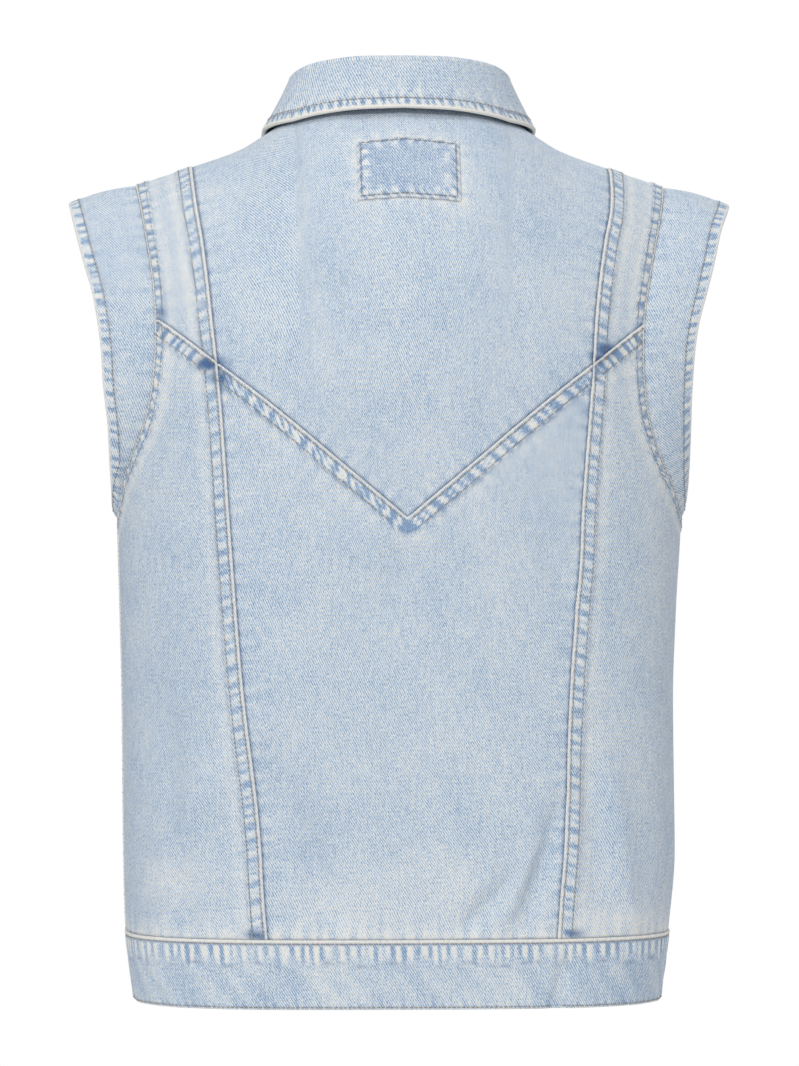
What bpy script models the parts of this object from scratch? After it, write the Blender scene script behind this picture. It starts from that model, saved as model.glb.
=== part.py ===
"""Denim vest with a fold-over collar, V yoke, princess panels, cap sleeves,
a button front and a hem band, filled out as on a figure."""

import math

import bpy
import numpy as np

# Cloth sizes

NAME = "denim_vest"
CLOTH = 0.0014
SEAM_GAP = 0.0003
LAP_RISE = 0.0008
LAP_NEAR = (0.0108, 0.0123)
ARM_LAP = (0.0080, 0.0095)
V_LAP_DOWN = (0.0140, 0.0160)

# Body sections, from the shoulder ridge down

BODY = {
    "level": (0.000, -0.060, -0.100, -0.200, -0.278, -0.335, -0.400, -0.450, -0.500, -0.556,
              -0.600, -0.620),
    "half_width": (0.1980, 0.1970, 0.1960, 0.1945, 0.1935, 0.1920, 0.1905, 0.1900, 0.1895, 0.1880,
                   0.1825, 0.1800),
    "half_width_right": (0.1980, 0.1970, 0.1960, 0.1945, 0.1935, 0.1902, 0.1878, 0.1882, 0.1887,
                         0.1838, 0.1780, 0.1755),
    "squareness": (2.25, 2.25, 2.25, 2.30, 2.45, 2.60, 2.80, 2.90, 3.00, 3.20, 3.30, 3.30),
    "depth_back": (0.1190, 0.1215, 0.1220, 0.1220, 0.1210, 0.1190, 0.1170, 0.1160, 0.1160, 0.1160,
                   0.1140, 0.1135),
    "depth_front": (0.1190, 0.1165, 0.1155, 0.1150, 0.1150, 0.1140, 0.1130, 0.1120, 0.1120, 0.1120,
                    0.1110, 0.1105),
}
CAP_DEPTH = 0.190
CAP_RUN = 0.270

SHOULDER = {
    "across": (0.000, 0.040, 0.078, 0.095, 0.110, 0.143, 0.155, 0.1735, 0.181, 0.2045, 0.2275),
    "height": (0.0240, 0.0185, 0.0000, -0.0112, -0.0202, -0.0322, -0.0362, -0.0420, -0.0450, -0.0520,
               -0.0572),
}

# Seams on the back, half widths by height, wearer's left and right

PRINCESS = {
    "height": (-0.033, -0.060, -0.087, -0.114, -0.141, -0.170, -0.203, -0.238, -0.273, -0.302, -0.334,
               -0.383, -0.431, -0.464, -0.496, -0.528, -0.5555),
    "left": (0.1432, 0.1400, 0.1358, 0.1325, 0.1297, 0.1264, 0.1234, 0.1208, 0.1185, 0.1163, 0.1139,
             0.1098, 0.1043, 0.1002, 0.0973, 0.0954, 0.0930),
    "right": (0.1434, 0.1415, 0.1355, 0.1308, 0.1275, 0.1255, 0.1230, 0.1200, 0.1175, 0.1163, 0.1136,
              0.1098, 0.1077, 0.1072, 0.1056, 0.1027, 0.1008),
}
ARMHOLE = {
    "height": (-0.0472, -0.059, -0.078, -0.0975, -0.117, -0.1345, -0.1515, -0.169, -0.190, -0.208,
               -0.224, -0.239, -0.252, -0.264, -0.275),
    "back_left": (0.1815, 0.1789, 0.1755, 0.1722, 0.1695, 0.1682, 0.1680, 0.1687, 0.1710, 0.1749,
                  0.1810, 0.1868, 0.1902, 0.1922, 0.1937),
    "back_right": (0.1820, 0.1795, 0.1751, 0.1704, 0.1665, 0.1634, 0.1618, 0.1617, 0.1632, 0.1662,
                   0.1710, 0.1777, 0.1843, 0.1890, 0.1937),
    "front": (0.1810, 0.1762, 0.1697, 0.1640, 0.1600, 0.1577, 0.1567, 0.1570, 0.1598, 0.1645,
              0.1705, 0.1775, 0.1838, 0.1890, 0.1937),
}
V_SEAM = {
    "across": (0.0000, 0.0254, 0.0487, 0.0735, 0.1070, 0.1260, 0.1465, 0.1650),
    "height": (-0.2735, -0.2520, -0.2325, -0.2115, -0.1845, -0.1700, -0.1540, -0.1400),
}
UNDERARM = -0.275
HEM_SEAM = -0.5555
SHOULDER_SEAM = -0.020
FRONT_LEVEL = -0.285

# Neck, front opening and collar

NECK_HALF = 0.0715
NECK_BACK = 0.059
NECK_FRONT = -0.163
PLACKET_HALF = 0.016
PLACKET_UNDER = 0.0158
PLACKET_RISE = 0.0010
PLACKET_LAYER = 0.0024
COLLAR_HALF = 0.0012
COLLAR_TURN = 0.0026
COLLAR_STATIONS = 21
COLLAR = {
    "along": (0.000, 0.105, 0.210, 0.310, 0.400, 0.530, 0.680, 0.840, 1.000),
    "roll_x": (0.0000, 0.0250, 0.0480, 0.0655, 0.0735, 0.0715, 0.0580, 0.0380, 0.0185),
    "roll_y": (0.0515, 0.0500, 0.0405, 0.0240, 0.0020, -0.0280, -0.0570, -0.0765, -0.0865),
    "roll_z": (0.0395, 0.0393, 0.0378, 0.0345, 0.0284, 0.0150, -0.0080, -0.0280, -0.0430),
    "edge_x": (0.0000, 0.0300, 0.0600, 0.0825, 0.0932, 0.0930, 0.0905, 0.0810, 0.0620),
    "edge_y": (0.0594, 0.0566, 0.0452, 0.0240, -0.0012, -0.0265, -0.0535, -0.0755, -0.0930),
    "edge_z": (0.0045, 0.0035, 0.0000, -0.0050, -0.0070, -0.0145, -0.0330, -0.0560, -0.0800),
    "bow": (0.0004, 0.0000, -0.0004, -0.0004, -0.0004, 0.0006, 0.0016, 0.0018, 0.0018),
}
COLLAR_REST = 0.0028

# Cap sleeve edge, back half depth and front half depth

SLEEVE_EDGE = {
    "height": (-0.0580, -0.077, -0.101, -0.120, -0.142, -0.160, -0.1815, -0.196, -0.2105, -0.236, -0.252,
               -0.2645),
    "left": (0.2278, 0.2230, 0.2167, 0.2113, 0.2072, 0.2050, 0.2037, 0.2022, 0.2005, 0.1994, 0.1985,
             0.1975),
    "right": (0.2278, 0.2190, 0.2125, 0.2071, 0.2010, 0.1982, 0.1967, 0.1962, 0.1962, 0.1962, 0.1962,
              0.1962),
}
SLEEVE_BACK = 0.064
SLEEVE_FRONT = 0.060
SLEEVE_HEM_RISE = 0.0007
SLEEVE_LINES = (0.0, 0.30, 0.58, 0.80, 0.84, 1.0)

# Hem band

BAND_STATIONS = 92
BAND_RISE = 0.0009
BAND_LAYER = 0.0028
BAND_ROWS = (0.00015, 0.0030, 0.0240, 0.0468)
BAND_EASE = 0.040

# Neck patch and buttons

PATCH_CENTRE = -0.0025
PATCH_HALF = 0.0346
PATCH_TOP = -0.0165
PATCH_BOTTOM = -0.0585
PATCH_LAYER = 0.0010
BUTTON_HEIGHTS = (-0.085, -0.190, -0.295, -0.400, -0.505, -0.578)
BUTTON_SECTORS = 16
BUTTON = {
    "radius": (0.0072, 0.0082, 0.0085, 0.0080, 0.0070, 0.0062, 0.0030),
    "rise": (0.0000, 0.0003, 0.0010, 0.0017, 0.0020, 0.0017, 0.0015),
}
BUTTON_TOP = 0.0014

# Soft troughs and rises of the filled-out cloth

FOLDS = {
    "face": (1, 1, 1, 1, 1, 1, 1, -1, -1, -1, -1),
    "from_x": (-0.0980, -0.0550, -0.1340, 0.0870, 0.1160, 0.0300, -0.0200, 0.0700, -0.0800, 0.1200,
               -0.1300),
    "from_z": (-0.4850, -0.4950, -0.4100, -0.4150, -0.4300, -0.1500, -0.2900, -0.4300, -0.4500, -0.2300,
               -0.2500),
    "to_x": (-0.0740, -0.0360, -0.1420, 0.0350, 0.1640, 0.0900, 0.0300, 0.0950, -0.1050, 0.0700,
             -0.0800),
    "to_z": (-0.5400, -0.5360, -0.5480, -0.5150, -0.5200, -0.1200, -0.3600, -0.5300, -0.5400, -0.2900,
             -0.3000),
    "half_width": (0.012, 0.012, 0.012, 0.018, 0.016, 0.030, 0.024, 0.016, 0.014, 0.022, 0.020),
    "rise": (-0.0024, -0.0018, -0.0022, -0.0020, 0.0018, -0.0010, -0.0010, -0.0018, -0.0020, -0.0016,
             -0.0014),
}

# Interpolation helpers


def smooth(at, xs, ys):
    """Monotone cubic value of the table (xs, ys) at the positions `at`."""
    xs = np.asarray(xs, float)
    ys = np.asarray(ys, float)
    if xs[0] > xs[-1]:
        xs = xs[::-1]
        ys = ys[::-1]
    step = np.diff(xs)
    slope = np.diff(ys) / step
    tangent = np.zeros_like(ys)
    same = slope[:-1] * slope[1:] > 0.0
    weight = 2.0 * slope[:-1] * slope[1:] / np.where(same, slope[:-1] + slope[1:], 1.0)
    tangent[1:-1] = np.where(same, weight, 0.0)
    tangent[0] = slope[0]
    tangent[-1] = slope[-1]
    at = np.clip(np.asarray(at, float), xs[0], xs[-1])
    cell = np.clip(np.searchsorted(xs, at) - 1, 0, len(xs) - 2)
    run = step[cell]
    u = (at - xs[cell]) / run
    rise = ys[cell] * (2 * u**3 - 3 * u**2 + 1) + ys[cell + 1] * (3 * u**2 - 2 * u**3)
    bend = tangent[cell] * (u**3 - 2 * u**2 + u) + tangent[cell + 1] * (u**3 - u**2)
    return rise + bend * run


def unit(vectors):
    """Vectors scaled to length one."""
    length = np.linalg.norm(vectors, axis=-1, keepdims=True)
    return vectors / np.maximum(length, 1e-12)


# Body surface, run counts down from the ridge: back positive, front negative


def level_of(run):
    """Section level for a run over the surface."""
    run = np.abs(run)
    return np.where(run < CAP_RUN, -run * CAP_DEPTH / CAP_RUN, -CAP_DEPTH - (run - CAP_RUN))


def section(run, side=1.0):
    """Half width, squareness and depth of the body section at a run."""
    level = level_of(run)
    left = smooth(level, BODY["level"], BODY["half_width"])
    right = smooth(level, BODY["level"], BODY["half_width_right"])
    width = np.where(np.asarray(side) < 0.0, right, left)
    square = smooth(level, BODY["level"], BODY["squareness"])
    back = smooth(level, BODY["level"], BODY["depth_back"])
    front = smooth(level, BODY["level"], BODY["depth_front"])
    return width, square, np.where(np.asarray(run) >= 0.0, back, front)


def bare(angle, run):
    """Point of the body surface at an angle round the body and a run down it."""
    width, square, depth = section(run, angle)
    across = np.abs(np.sin(angle)) / width
    along = np.abs(np.cos(angle)) / depth
    radius = (across**square + along**square) ** (-1.0 / square)
    x = radius * np.sin(angle)
    y = radius * np.cos(angle)
    ridge = smooth(np.abs(x), SHOULDER["across"], SHOULDER["height"])
    turn = np.clip(np.abs(run) / CAP_RUN, 0.0, 1.0) * math.pi / 2
    cap = ridge - (CAP_DEPTH + ridge) * (1.0 - np.cos(turn))
    z = np.where(np.abs(run) < CAP_RUN, cap, level_of(run))
    return np.stack([x, np.where(np.asarray(run) >= 0.0, 1.0, -1.0) * y * np.sin(turn), z], axis=-1)


def outward(angle, run):
    """Unit direction out of the body surface."""
    step = 1e-4
    round_body = bare(angle + step, run) - bare(angle - step, run)
    down_body = bare(angle, run + step) - bare(angle, run - step)
    return unit(np.cross(round_body, down_body))


def fold_rise(points, run):
    """Rise of the soft folds at surface points."""
    rise = np.zeros(points.shape[:-1])
    for face, x0, z0, x1, z1, half, height in zip(*FOLDS.values()):
        start = np.array([x0, z0])
        reach = np.array([x1 - x0, z1 - z0])
        place = points[..., (0, 2)] - start
        share = place @ reach / (reach @ reach)
        near = np.clip(share, 0.0, 1.0)
        off = np.linalg.norm(place - near[..., None] * reach, axis=-1)
        taper = np.sin(np.clip(0.15 + 0.7 * near, 0.0, 1.0) * math.pi)
        side = np.where(np.sign(run) == face, 1.0, 0.0)
        rise = rise + side * height * taper * np.exp(-((off / half) ** 2))
    return rise


def surface(angle, run, lift=0.0):
    """Body surface with its folds, moved out by a lift."""
    points = bare(angle, run)
    away = outward(angle, run)
    return points + away * (fold_rise(points, run) + lift)[..., None]


def run_at(x, z, face):
    """Run of the surface at a half width and height."""
    ridge = smooth(np.abs(x), SHOULDER["across"], SHOULDER["height"])
    turn = np.arccos(np.clip(1.0 - (ridge - z) / (CAP_DEPTH + ridge), -1.0, 1.0))
    cap = CAP_RUN * turn / (math.pi / 2)
    return face * np.where(z > -CAP_DEPTH, cap, CAP_RUN - CAP_DEPTH - z)


def angle_at(x, run):
    """Angle round the body at a half width and run."""
    width, square, depth = section(run, x)
    share = np.clip(np.abs(x) / width, 0.0, 1.0)
    y = depth * (1.0 - share**square) ** (1.0 / square)
    return np.sign(x) * np.arctan2(np.abs(x), y)


def line(x, run):
    """Surface curve as columns angle and run."""
    x, run = np.broadcast_arrays(np.asarray(x, float), np.asarray(run, float))
    return np.stack([angle_at(x, run), run], axis=-1)


def lengths(curve):
    """Distance along a surface curve."""
    points = bare(curve[:, 0], curve[:, 1])
    return np.concatenate([[0.0], np.cumsum(np.linalg.norm(np.diff(points, axis=0), axis=1))])


def sample(curve, shares):
    """Curve points at shares of its length."""
    way = lengths(curve)
    at = np.asarray(shares, float) * way[-1]
    return np.stack([np.interp(at, way, curve[:, k]) for k in range(2)], axis=-1)


def join(*curves):
    """Curves end to end with shared points once."""
    return np.concatenate([curves[0]] + [curve[1:] for curve in curves[1:]])


def even(count):
    """Even shares from nought to one."""
    return np.linspace(0.0, 1.0, count + 1)


# Seam curves


def princess(side):
    """Princess seam from the shoulder seam over the ridge to the hem seam."""
    key = "left" if side > 0 else "right"
    top = smooth(-0.033, PRINCESS["height"], PRINCESS[key])
    over = line(side * top, np.linspace(SHOULDER_SEAM, 0.010, 8))
    z = np.linspace(-0.036, HEM_SEAM, 240)
    x = smooth(z, PRINCESS["height"], PRINCESS[key])
    return join(over, line(side * x, run_at(x, z, 1)))


def v_height(x):
    """Height of the V yoke seam."""
    return smooth(np.abs(x), V_SEAM["across"], V_SEAM["height"])


def crossing(curve):
    """Index of the curve point where it meets the V yoke seam."""
    points = bare(curve[:, 0], curve[:, 1])
    return int(np.argmax(points[:, 2] < v_height(points[:, 0])))


def v_curve(start, end):
    """V yoke seam between two surface places."""
    x0 = bare(*start)[0]
    x1 = bare(*end)[0]
    x = np.linspace(x0, x1, 81)
    curve = line(x, run_at(x, v_height(x), 1))
    curve[0] = start
    curve[-1] = end
    return curve


def armhole(side, face):
    """Armhole seam from the shoulder seam to the underarm."""
    key = "front"
    if face > 0:
        key = "back_left" if side > 0 else "back_right"
    table = ARMHOLE[key]
    z = np.linspace(ARMHOLE["height"][0], UNDERARM, 160)
    x = smooth(z, ARMHOLE["height"], table)
    down = line(side * x, run_at(x, z, face))
    down[-1, 0] = side * math.pi / 2
    top = ARMHOLE["back_left"][0]
    if face > 0:
        over = line(side * top, np.linspace(SHOULDER_SEAM, 0.004, 6))
        return join(over, down)
    begin = line(side * np.array([top]), np.array([SHOULDER_SEAM]))
    return np.concatenate([begin, down[down[:, 1] < SHOULDER_SEAM - 0.004]])


def side_seam(side, face):
    """Side seam from the underarm to the hem seam."""
    run = face * (CAP_RUN - CAP_DEPTH - np.linspace(UNDERARM, HEM_SEAM, 40))
    return np.stack([np.full(40, side * math.pi / 2), run], axis=-1)


def hem_curve(x0, x1, face, count=160):
    """Hem seam between two half widths, or to a side seam at x1 = +-1."""
    run = face * (CAP_RUN - CAP_DEPTH - HEM_SEAM)
    a0 = angle_at(np.array(x0), run)
    a1 = np.sign(x1) * math.pi / 2 if abs(x1) >= 1.0 else angle_at(np.array(x1), run)
    return np.stack([np.linspace(a0, a1, count), np.full(count, run)], axis=-1)


def neck_back(side):
    """Back neck seam from centre back to the shoulder seam."""
    turn = np.linspace(0.0, math.pi / 2, 60)
    curve = line(side * NECK_HALF * np.sin(turn), NECK_BACK * np.cos(turn))
    return join(curve, line(side * NECK_HALF, np.linspace(0.0, SHOULDER_SEAM, 6)))


def neck_front(side):
    """Front neck seam from the shoulder seam to the placket."""
    stop = math.acos(PLACKET_HALF / NECK_HALF)
    turn = np.linspace(0.0, stop, 60)
    run = SHOULDER_SEAM + (NECK_FRONT - SHOULDER_SEAM) * np.sin(turn)
    return line(side * NECK_HALF * np.cos(turn), run)


# Panels


def patch_grid(left, right, top, bottom, shares):
    """Surface grid filled between four border curves.

    Rows run from top to bottom, shares give the place of each column in each row."""
    rows = len(left)
    down_left = lengths(left) / lengths(left)[-1]
    down_right = lengths(right) / lengths(right)[-1]
    v = (1.0 - shares) * down_left[:, None] + shares * down_right[:, None]
    upper = sample(top, shares.ravel()).reshape(rows, -1, 2)
    lower = sample(bottom, shares.ravel()).reshape(rows, -1, 2)
    u = shares[..., None]
    v = v[..., None]
    sides = (1 - u) * left[:, None] + u * right[:, None]
    ends = (1 - v) * upper + v * lower
    corners = (1 - u) * (1 - v) * left[0] + u * (1 - v) * right[0]
    corners = corners + (1 - u) * v * left[-1] + u * v * right[-1]
    return sides + ends - corners


def row_width(left, right):
    """Width of each row between its end points."""
    share = np.linspace(0.0, 1.0, 25)[None, :, None]
    between = left[:, None] * (1 - share) + right[:, None] * share
    points = bare(between[..., 0], between[..., 1])
    return np.linalg.norm(np.diff(points, axis=1), axis=2).sum(axis=1)


def columns(width, near, count, far):
    """Column shares with fixed strips at the two sides of each row."""
    first = np.array([0.0] + list(near))[None, :] / width[:, None]
    last = 1.0 - np.array(list(far) + [0.0])[None, :] / width[:, None]
    middle = np.linspace(0.0, 1.0, count + 1)[None, 1:-1]
    start = first[:, -1:]
    end = last[:, :1]
    return np.concatenate([first, start + (end - start) * middle, last], axis=1)


def shift_edge(points, away, amount, wrap=False):
    """Grid with its border pulled in by an amount within the surface."""
    moved = points.copy()
    for index in (0, -1):
        tangent = np.gradient(points[index], axis=0)
        inward = unit(np.cross(tangent, away[index]))
        toward = points[1 if index == 0 else -2] - points[index]
        flip = np.sign(np.sum(inward * toward, axis=-1, keepdims=True))
        moved[index] += inward * flip * amount
    if wrap:
        return moved
    for index in (0, -1):
        tangent = np.gradient(points[:, index], axis=0)
        inward = unit(np.cross(tangent, away[:, index]))
        toward = points[:, 1 if index == 0 else -2] - points[:, index]
        flip = np.sign(np.sum(inward * toward, axis=-1, keepdims=True))
        moved[:, index] += inward * flip * amount
    return moved


def shell(name, outer, inner, slot, wrap=False):
    """Closed solid between an outer and an inner grid of the same size."""
    rows, cols = outer.shape[:2]
    count = rows * cols
    index = np.arange(count).reshape(rows, cols)
    if wrap:
        index = np.concatenate([index, index[:, :1]], axis=1)
    a = index[:-1, :-1].ravel()
    b = index[:-1, 1:].ravel()
    c = index[1:, 1:].ravel()
    d = index[1:, :-1].ravel()
    faces = [np.stack([a, d, c], 1), np.stack([a, c, b], 1)]
    faces += [np.stack([a, c, d], 1) + count, np.stack([a, b, c], 1) + count]
    borders = [index[0], index[-1][::-1]]
    if not wrap:
        borders += [index[::-1, 0], index[:, -1]]
    for border in borders:
        p = border[:-1]
        q = border[1:]
        faces += [np.stack([p, q, q + count], 1), np.stack([p, q + count, p + count], 1)]
    faces = np.concatenate(faces)
    points = np.concatenate([outer.reshape(-1, 3), inner.reshape(-1, 3)])
    a, b, c = points[faces[:, 0]], points[faces[:, 1]], points[faces[:, 2]]
    if np.einsum("ij,ij->i", a, np.cross(b, c)).sum() < 0.0:
        faces = faces[:, ::-1]
    return add_object(name, points, faces, slot)


def add_object(name, points, faces, slot):
    """Mesh object in the vest's collection with one material."""
    mesh = bpy.data.meshes.new(name)
    mesh.from_pydata(points.tolist(), [], faces.tolist())
    mesh.update()
    mesh.materials.append(bpy.data.materials[slot])
    item = bpy.data.objects.new(name, mesh)
    bpy.data.collections[NAME].objects.link(item)
    return item


def panel(name, grid, rise):
    """Cloth panel on the body surface with raised laps outside and a plain inside."""
    angle = grid[..., 0]
    run = grid[..., 1]
    base = surface(angle, run)
    away = outward(angle, run)
    base = shift_edge(base, away, SEAM_GAP / 2)
    shell(name, base + away * rise[..., None], base - away * CLOTH, "denim")


# Back panels


def back_panels():
    """Yokes and lower panels of the back."""
    strip = {}
    for side in (1, -1):
        seam = princess(side)
        cut = crossing(seam)
        upper = seam[:cut + 1]
        lower = seam[cut:]
        arm = armhole(side, 1)
        arm_cut = crossing(arm)
        arm_upper = arm[:arm_cut + 1]
        arm_lower = arm[arm_cut:]
        v_out = v_curve(seam[cut], arm[arm_cut])
        inner_rows = sample(upper, even(10))
        outer_rows = sample(arm_upper, even(10))
        shares = columns(row_width(inner_rows, outer_rows), LAP_NEAR, 2, ARM_LAP[::-1])
        top = np.stack([np.linspace(inner_rows[0, k], outer_rows[0, k], 30) for k in range(2)], -1)
        grid = patch_grid(inner_rows, outer_rows, top, v_out, shares)
        rise = np.zeros(shares.shape)
        rise[:, :2] = LAP_RISE
        rise[:, -2:] = LAP_RISE
        label = "left" if side > 0 else "right"
        panel("yoke_side_" + label, grid, rise)
        low = lengths(lower)[-1]
        drop = lengths(arm_lower)[-1]
        top_part = np.array([0.0] + list(V_LAP_DOWN)) / low
        under = (v_height(0.126) - UNDERARM + 0.008) / low
        shares_in = np.concatenate([top_part, np.linspace(top_part[-1], under, 7)[1:],
                                    np.linspace(under, 1.0, 16)[1:]])
        left = sample(lower, shares_in)
        arm_part = np.array([0.0, LAP_NEAR[0], LAP_NEAR[1]]) / drop
        arm_shares = np.concatenate([arm_part, np.linspace(arm_part[-1], 1.0, 7)[1:]])
        right = join(sample(arm_lower, arm_shares), sample(side_seam(side, 1), even(15)))
        shares = columns(row_width(left, right), LAP_NEAR, 5, ARM_LAP[::-1])
        hem_x = bare(*left[-1])[0]
        grid = patch_grid(left, right, v_out, hem_curve(hem_x, side, 1), shares)
        rise = np.zeros(shares.shape)
        rise[:, :2] = LAP_RISE
        rise[:2] = LAP_RISE
        rise[:9, -2:] = LAP_RISE
        panel("back_side_" + label, grid, rise)
        strip[side] = {"upper": inner_rows, "lower": left, "v": seam[cut]}
        strip[side]["armhole"] = join(outer_rows, right[:9])
    tip = line(np.array([0.0]), np.array([run_at(0.0, v_height(0.0), 1)]))[0]
    half = {side: v_curve(strip[side]["v"], tip) for side in (1, -1)}
    v_line = join(half[1], half[-1][::-1])
    yoke_centre(strip, v_line)
    lower_centre(strip, v_line)
    return strip


def yoke_centre(strip, v_line):
    """Centre yoke from the neck and shoulders to the V seam."""
    left = strip[1]["upper"]
    right = strip[-1]["upper"]
    shoulder = {}
    for side, rows in ((1, left), (-1, right)):
        end = neck_back(side)[-1]
        shoulder[side] = np.stack([np.linspace(rows[0, k], end[k], 20) for k in range(2)], -1)
    top = join(shoulder[1], neck_back(1)[::-1], neck_back(-1), shoulder[-1][::-1])
    way = lengths(top)
    neck_share = lengths(shoulder[1])[-1] / way[-1]
    shoulder_share = np.linspace(0.0, neck_share, 6)
    neck_shares = np.linspace(neck_share, 1 - neck_share, 15)
    upper = np.concatenate([shoulder_share, neck_shares[1:], 1 - shoulder_share[::-1][1:]])
    down = np.linspace(0.0, 1.0, len(left))[:, None]
    shares = (1 - down) * upper[None] + down * even(24)[None]
    grid = patch_grid(left, right, top, v_line, shares)
    panel("yoke_back", grid, np.zeros(shares.shape))


def lower_centre(strip, v_line):
    """Centre lower panel from the V seam to the hem band."""
    left = strip[1]["lower"]
    right = strip[-1]["lower"]
    start = bare(*left[-1])[0]
    stop = bare(*right[-1])[0]
    shares = np.tile(even(24)[None], (len(left), 1))
    grid = patch_grid(left, right, v_line, hem_curve(start, stop, 1), shares)
    rise = np.zeros(shares.shape)
    rise[:2] = LAP_RISE
    panel("back_lower", grid, rise)


# Front panels and plackets


def front_panels():
    """Two fronts from the shoulder seam to the hem band, and the rows of their armholes."""
    arms = {}
    for side in (1, -1):
        neck = neck_front(side)
        start = neck[-1, 1]
        chest = line(side * PLACKET_HALF, np.linspace(start, -(CAP_RUN - CAP_DEPTH - FRONT_LEVEL), 60))
        lower = line(side * PLACKET_HALF, np.linspace(chest[-1, 1], -(CAP_RUN - CAP_DEPTH - HEM_SEAM), 60))
        left = join(sample(neck, even(7)), sample(chest, even(9)), sample(lower, even(16)))
        arm_rows = sample(armhole(side, -1), even(16))
        right = join(arm_rows, sample(side_seam(side, -1), even(16)))
        top = np.stack([np.linspace(left[0, k], right[0, k], 40) for k in range(2)], -1)
        hem = hem_curve(side * PLACKET_HALF, side, -1)
        shares = columns(row_width(left, right), (), 9, ARM_LAP[::-1])
        grid = patch_grid(left, right, top, hem, shares)
        rise = np.zeros(shares.shape)
        rise[:17, -2:] = LAP_RISE
        label = "left" if side > 0 else "right"
        panel("front_" + label, grid, rise)
        arms[side] = arm_rows
    return arms


def placket(name, from_x, to_x, lift):
    """Double strip down the centre front, its outer face at a lift from the fronts."""
    x = np.linspace(from_x, to_x, 5)
    top = neck_front(1)[-1, 1]
    run = np.linspace(top, -(CAP_RUN - CAP_DEPTH - HEM_SEAM), 31)
    grid = line(x[None, :], run[:, None])
    base = surface(grid[..., 0], grid[..., 1])
    away = outward(grid[..., 0], grid[..., 1])
    base = shift_edge(base, away, SEAM_GAP / 2)
    shell(name, base + away * lift, base + away * (lift - PLACKET_LAYER), "denim")


# Cap sleeves


def sleeve_edge(side, shares, face):
    """Sleeve opening from its top to the underarm at shares of its length."""
    high = SLEEVE_EDGE["height"][0]
    low = SLEEVE_EDGE["height"][-1]
    turn = np.linspace(0.0, math.pi, 200)
    z = (high + low) / 2 + (high - low) / 2 * np.cos(turn)
    reach = SLEEVE_BACK if face > 0 else SLEEVE_FRONT
    x = smooth(z, SLEEVE_EDGE["height"], SLEEVE_EDGE["left" if side > 0 else "right"])
    points = np.stack([side * x, face * reach * np.sin(turn), z], -1)
    way = np.concatenate([[0.0], np.cumsum(np.linalg.norm(np.diff(points, axis=0), axis=1))])
    at = np.asarray(shares) * way[-1]
    return np.stack([np.interp(at, way, points[:, k]) for k in range(3)], -1)


def sleeve(side, back_rows, front_rows):
    """Cap sleeve strip from the armhole seam to its turned hem."""
    seam_back = bare(back_rows[:, 0], back_rows[:, 1])
    seam_front = bare(front_rows[:, 0], front_rows[:, 1])
    away = np.concatenate([outward(back_rows[:, 0], back_rows[:, 1]),
                           outward(front_rows[:, 0], front_rows[:, 1])[::-1][1:-1]])
    seam = np.concatenate([seam_back, seam_front[::-1][1:-1]])
    edges = []
    for rows, points, face in ((back_rows, seam_back, 1), (front_rows, seam_front, -1)):
        way = np.concatenate([[0.0], np.cumsum(np.linalg.norm(np.diff(points, axis=0), axis=1))])
        edges.append(sleeve_edge(side, way / way[-1], face))
    edge = np.concatenate([edges[0], edges[1][::-1][1:-1]])
    share = np.array(SLEEVE_LINES)[:, None, None]
    reach = edge - seam
    grid = seam[None] + share * reach[None]
    around = np.roll(grid, -1, axis=1) - np.roll(grid, 1, axis=1)
    across = np.broadcast_to(reach[None], grid.shape)
    out = unit(np.cross(around, across))
    out = out * np.sign(np.sum(out[0] * away, axis=-1).mean())
    bow = 0.05 * np.linalg.norm(reach, axis=-1)[None, :, None] * np.sin(share * math.pi)
    grid = grid + out * bow
    grid = grid.copy()
    grid[0] += unit(reach) * SEAM_GAP / 2
    rise = np.zeros(grid.shape[:2])
    rise[-2:] = SLEEVE_HEM_RISE
    label = "left" if side > 0 else "right"
    shell("sleeve_" + label, grid + out * rise[..., None], grid - out * CLOTH, "denim", wrap=True)


# Collar


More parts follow.
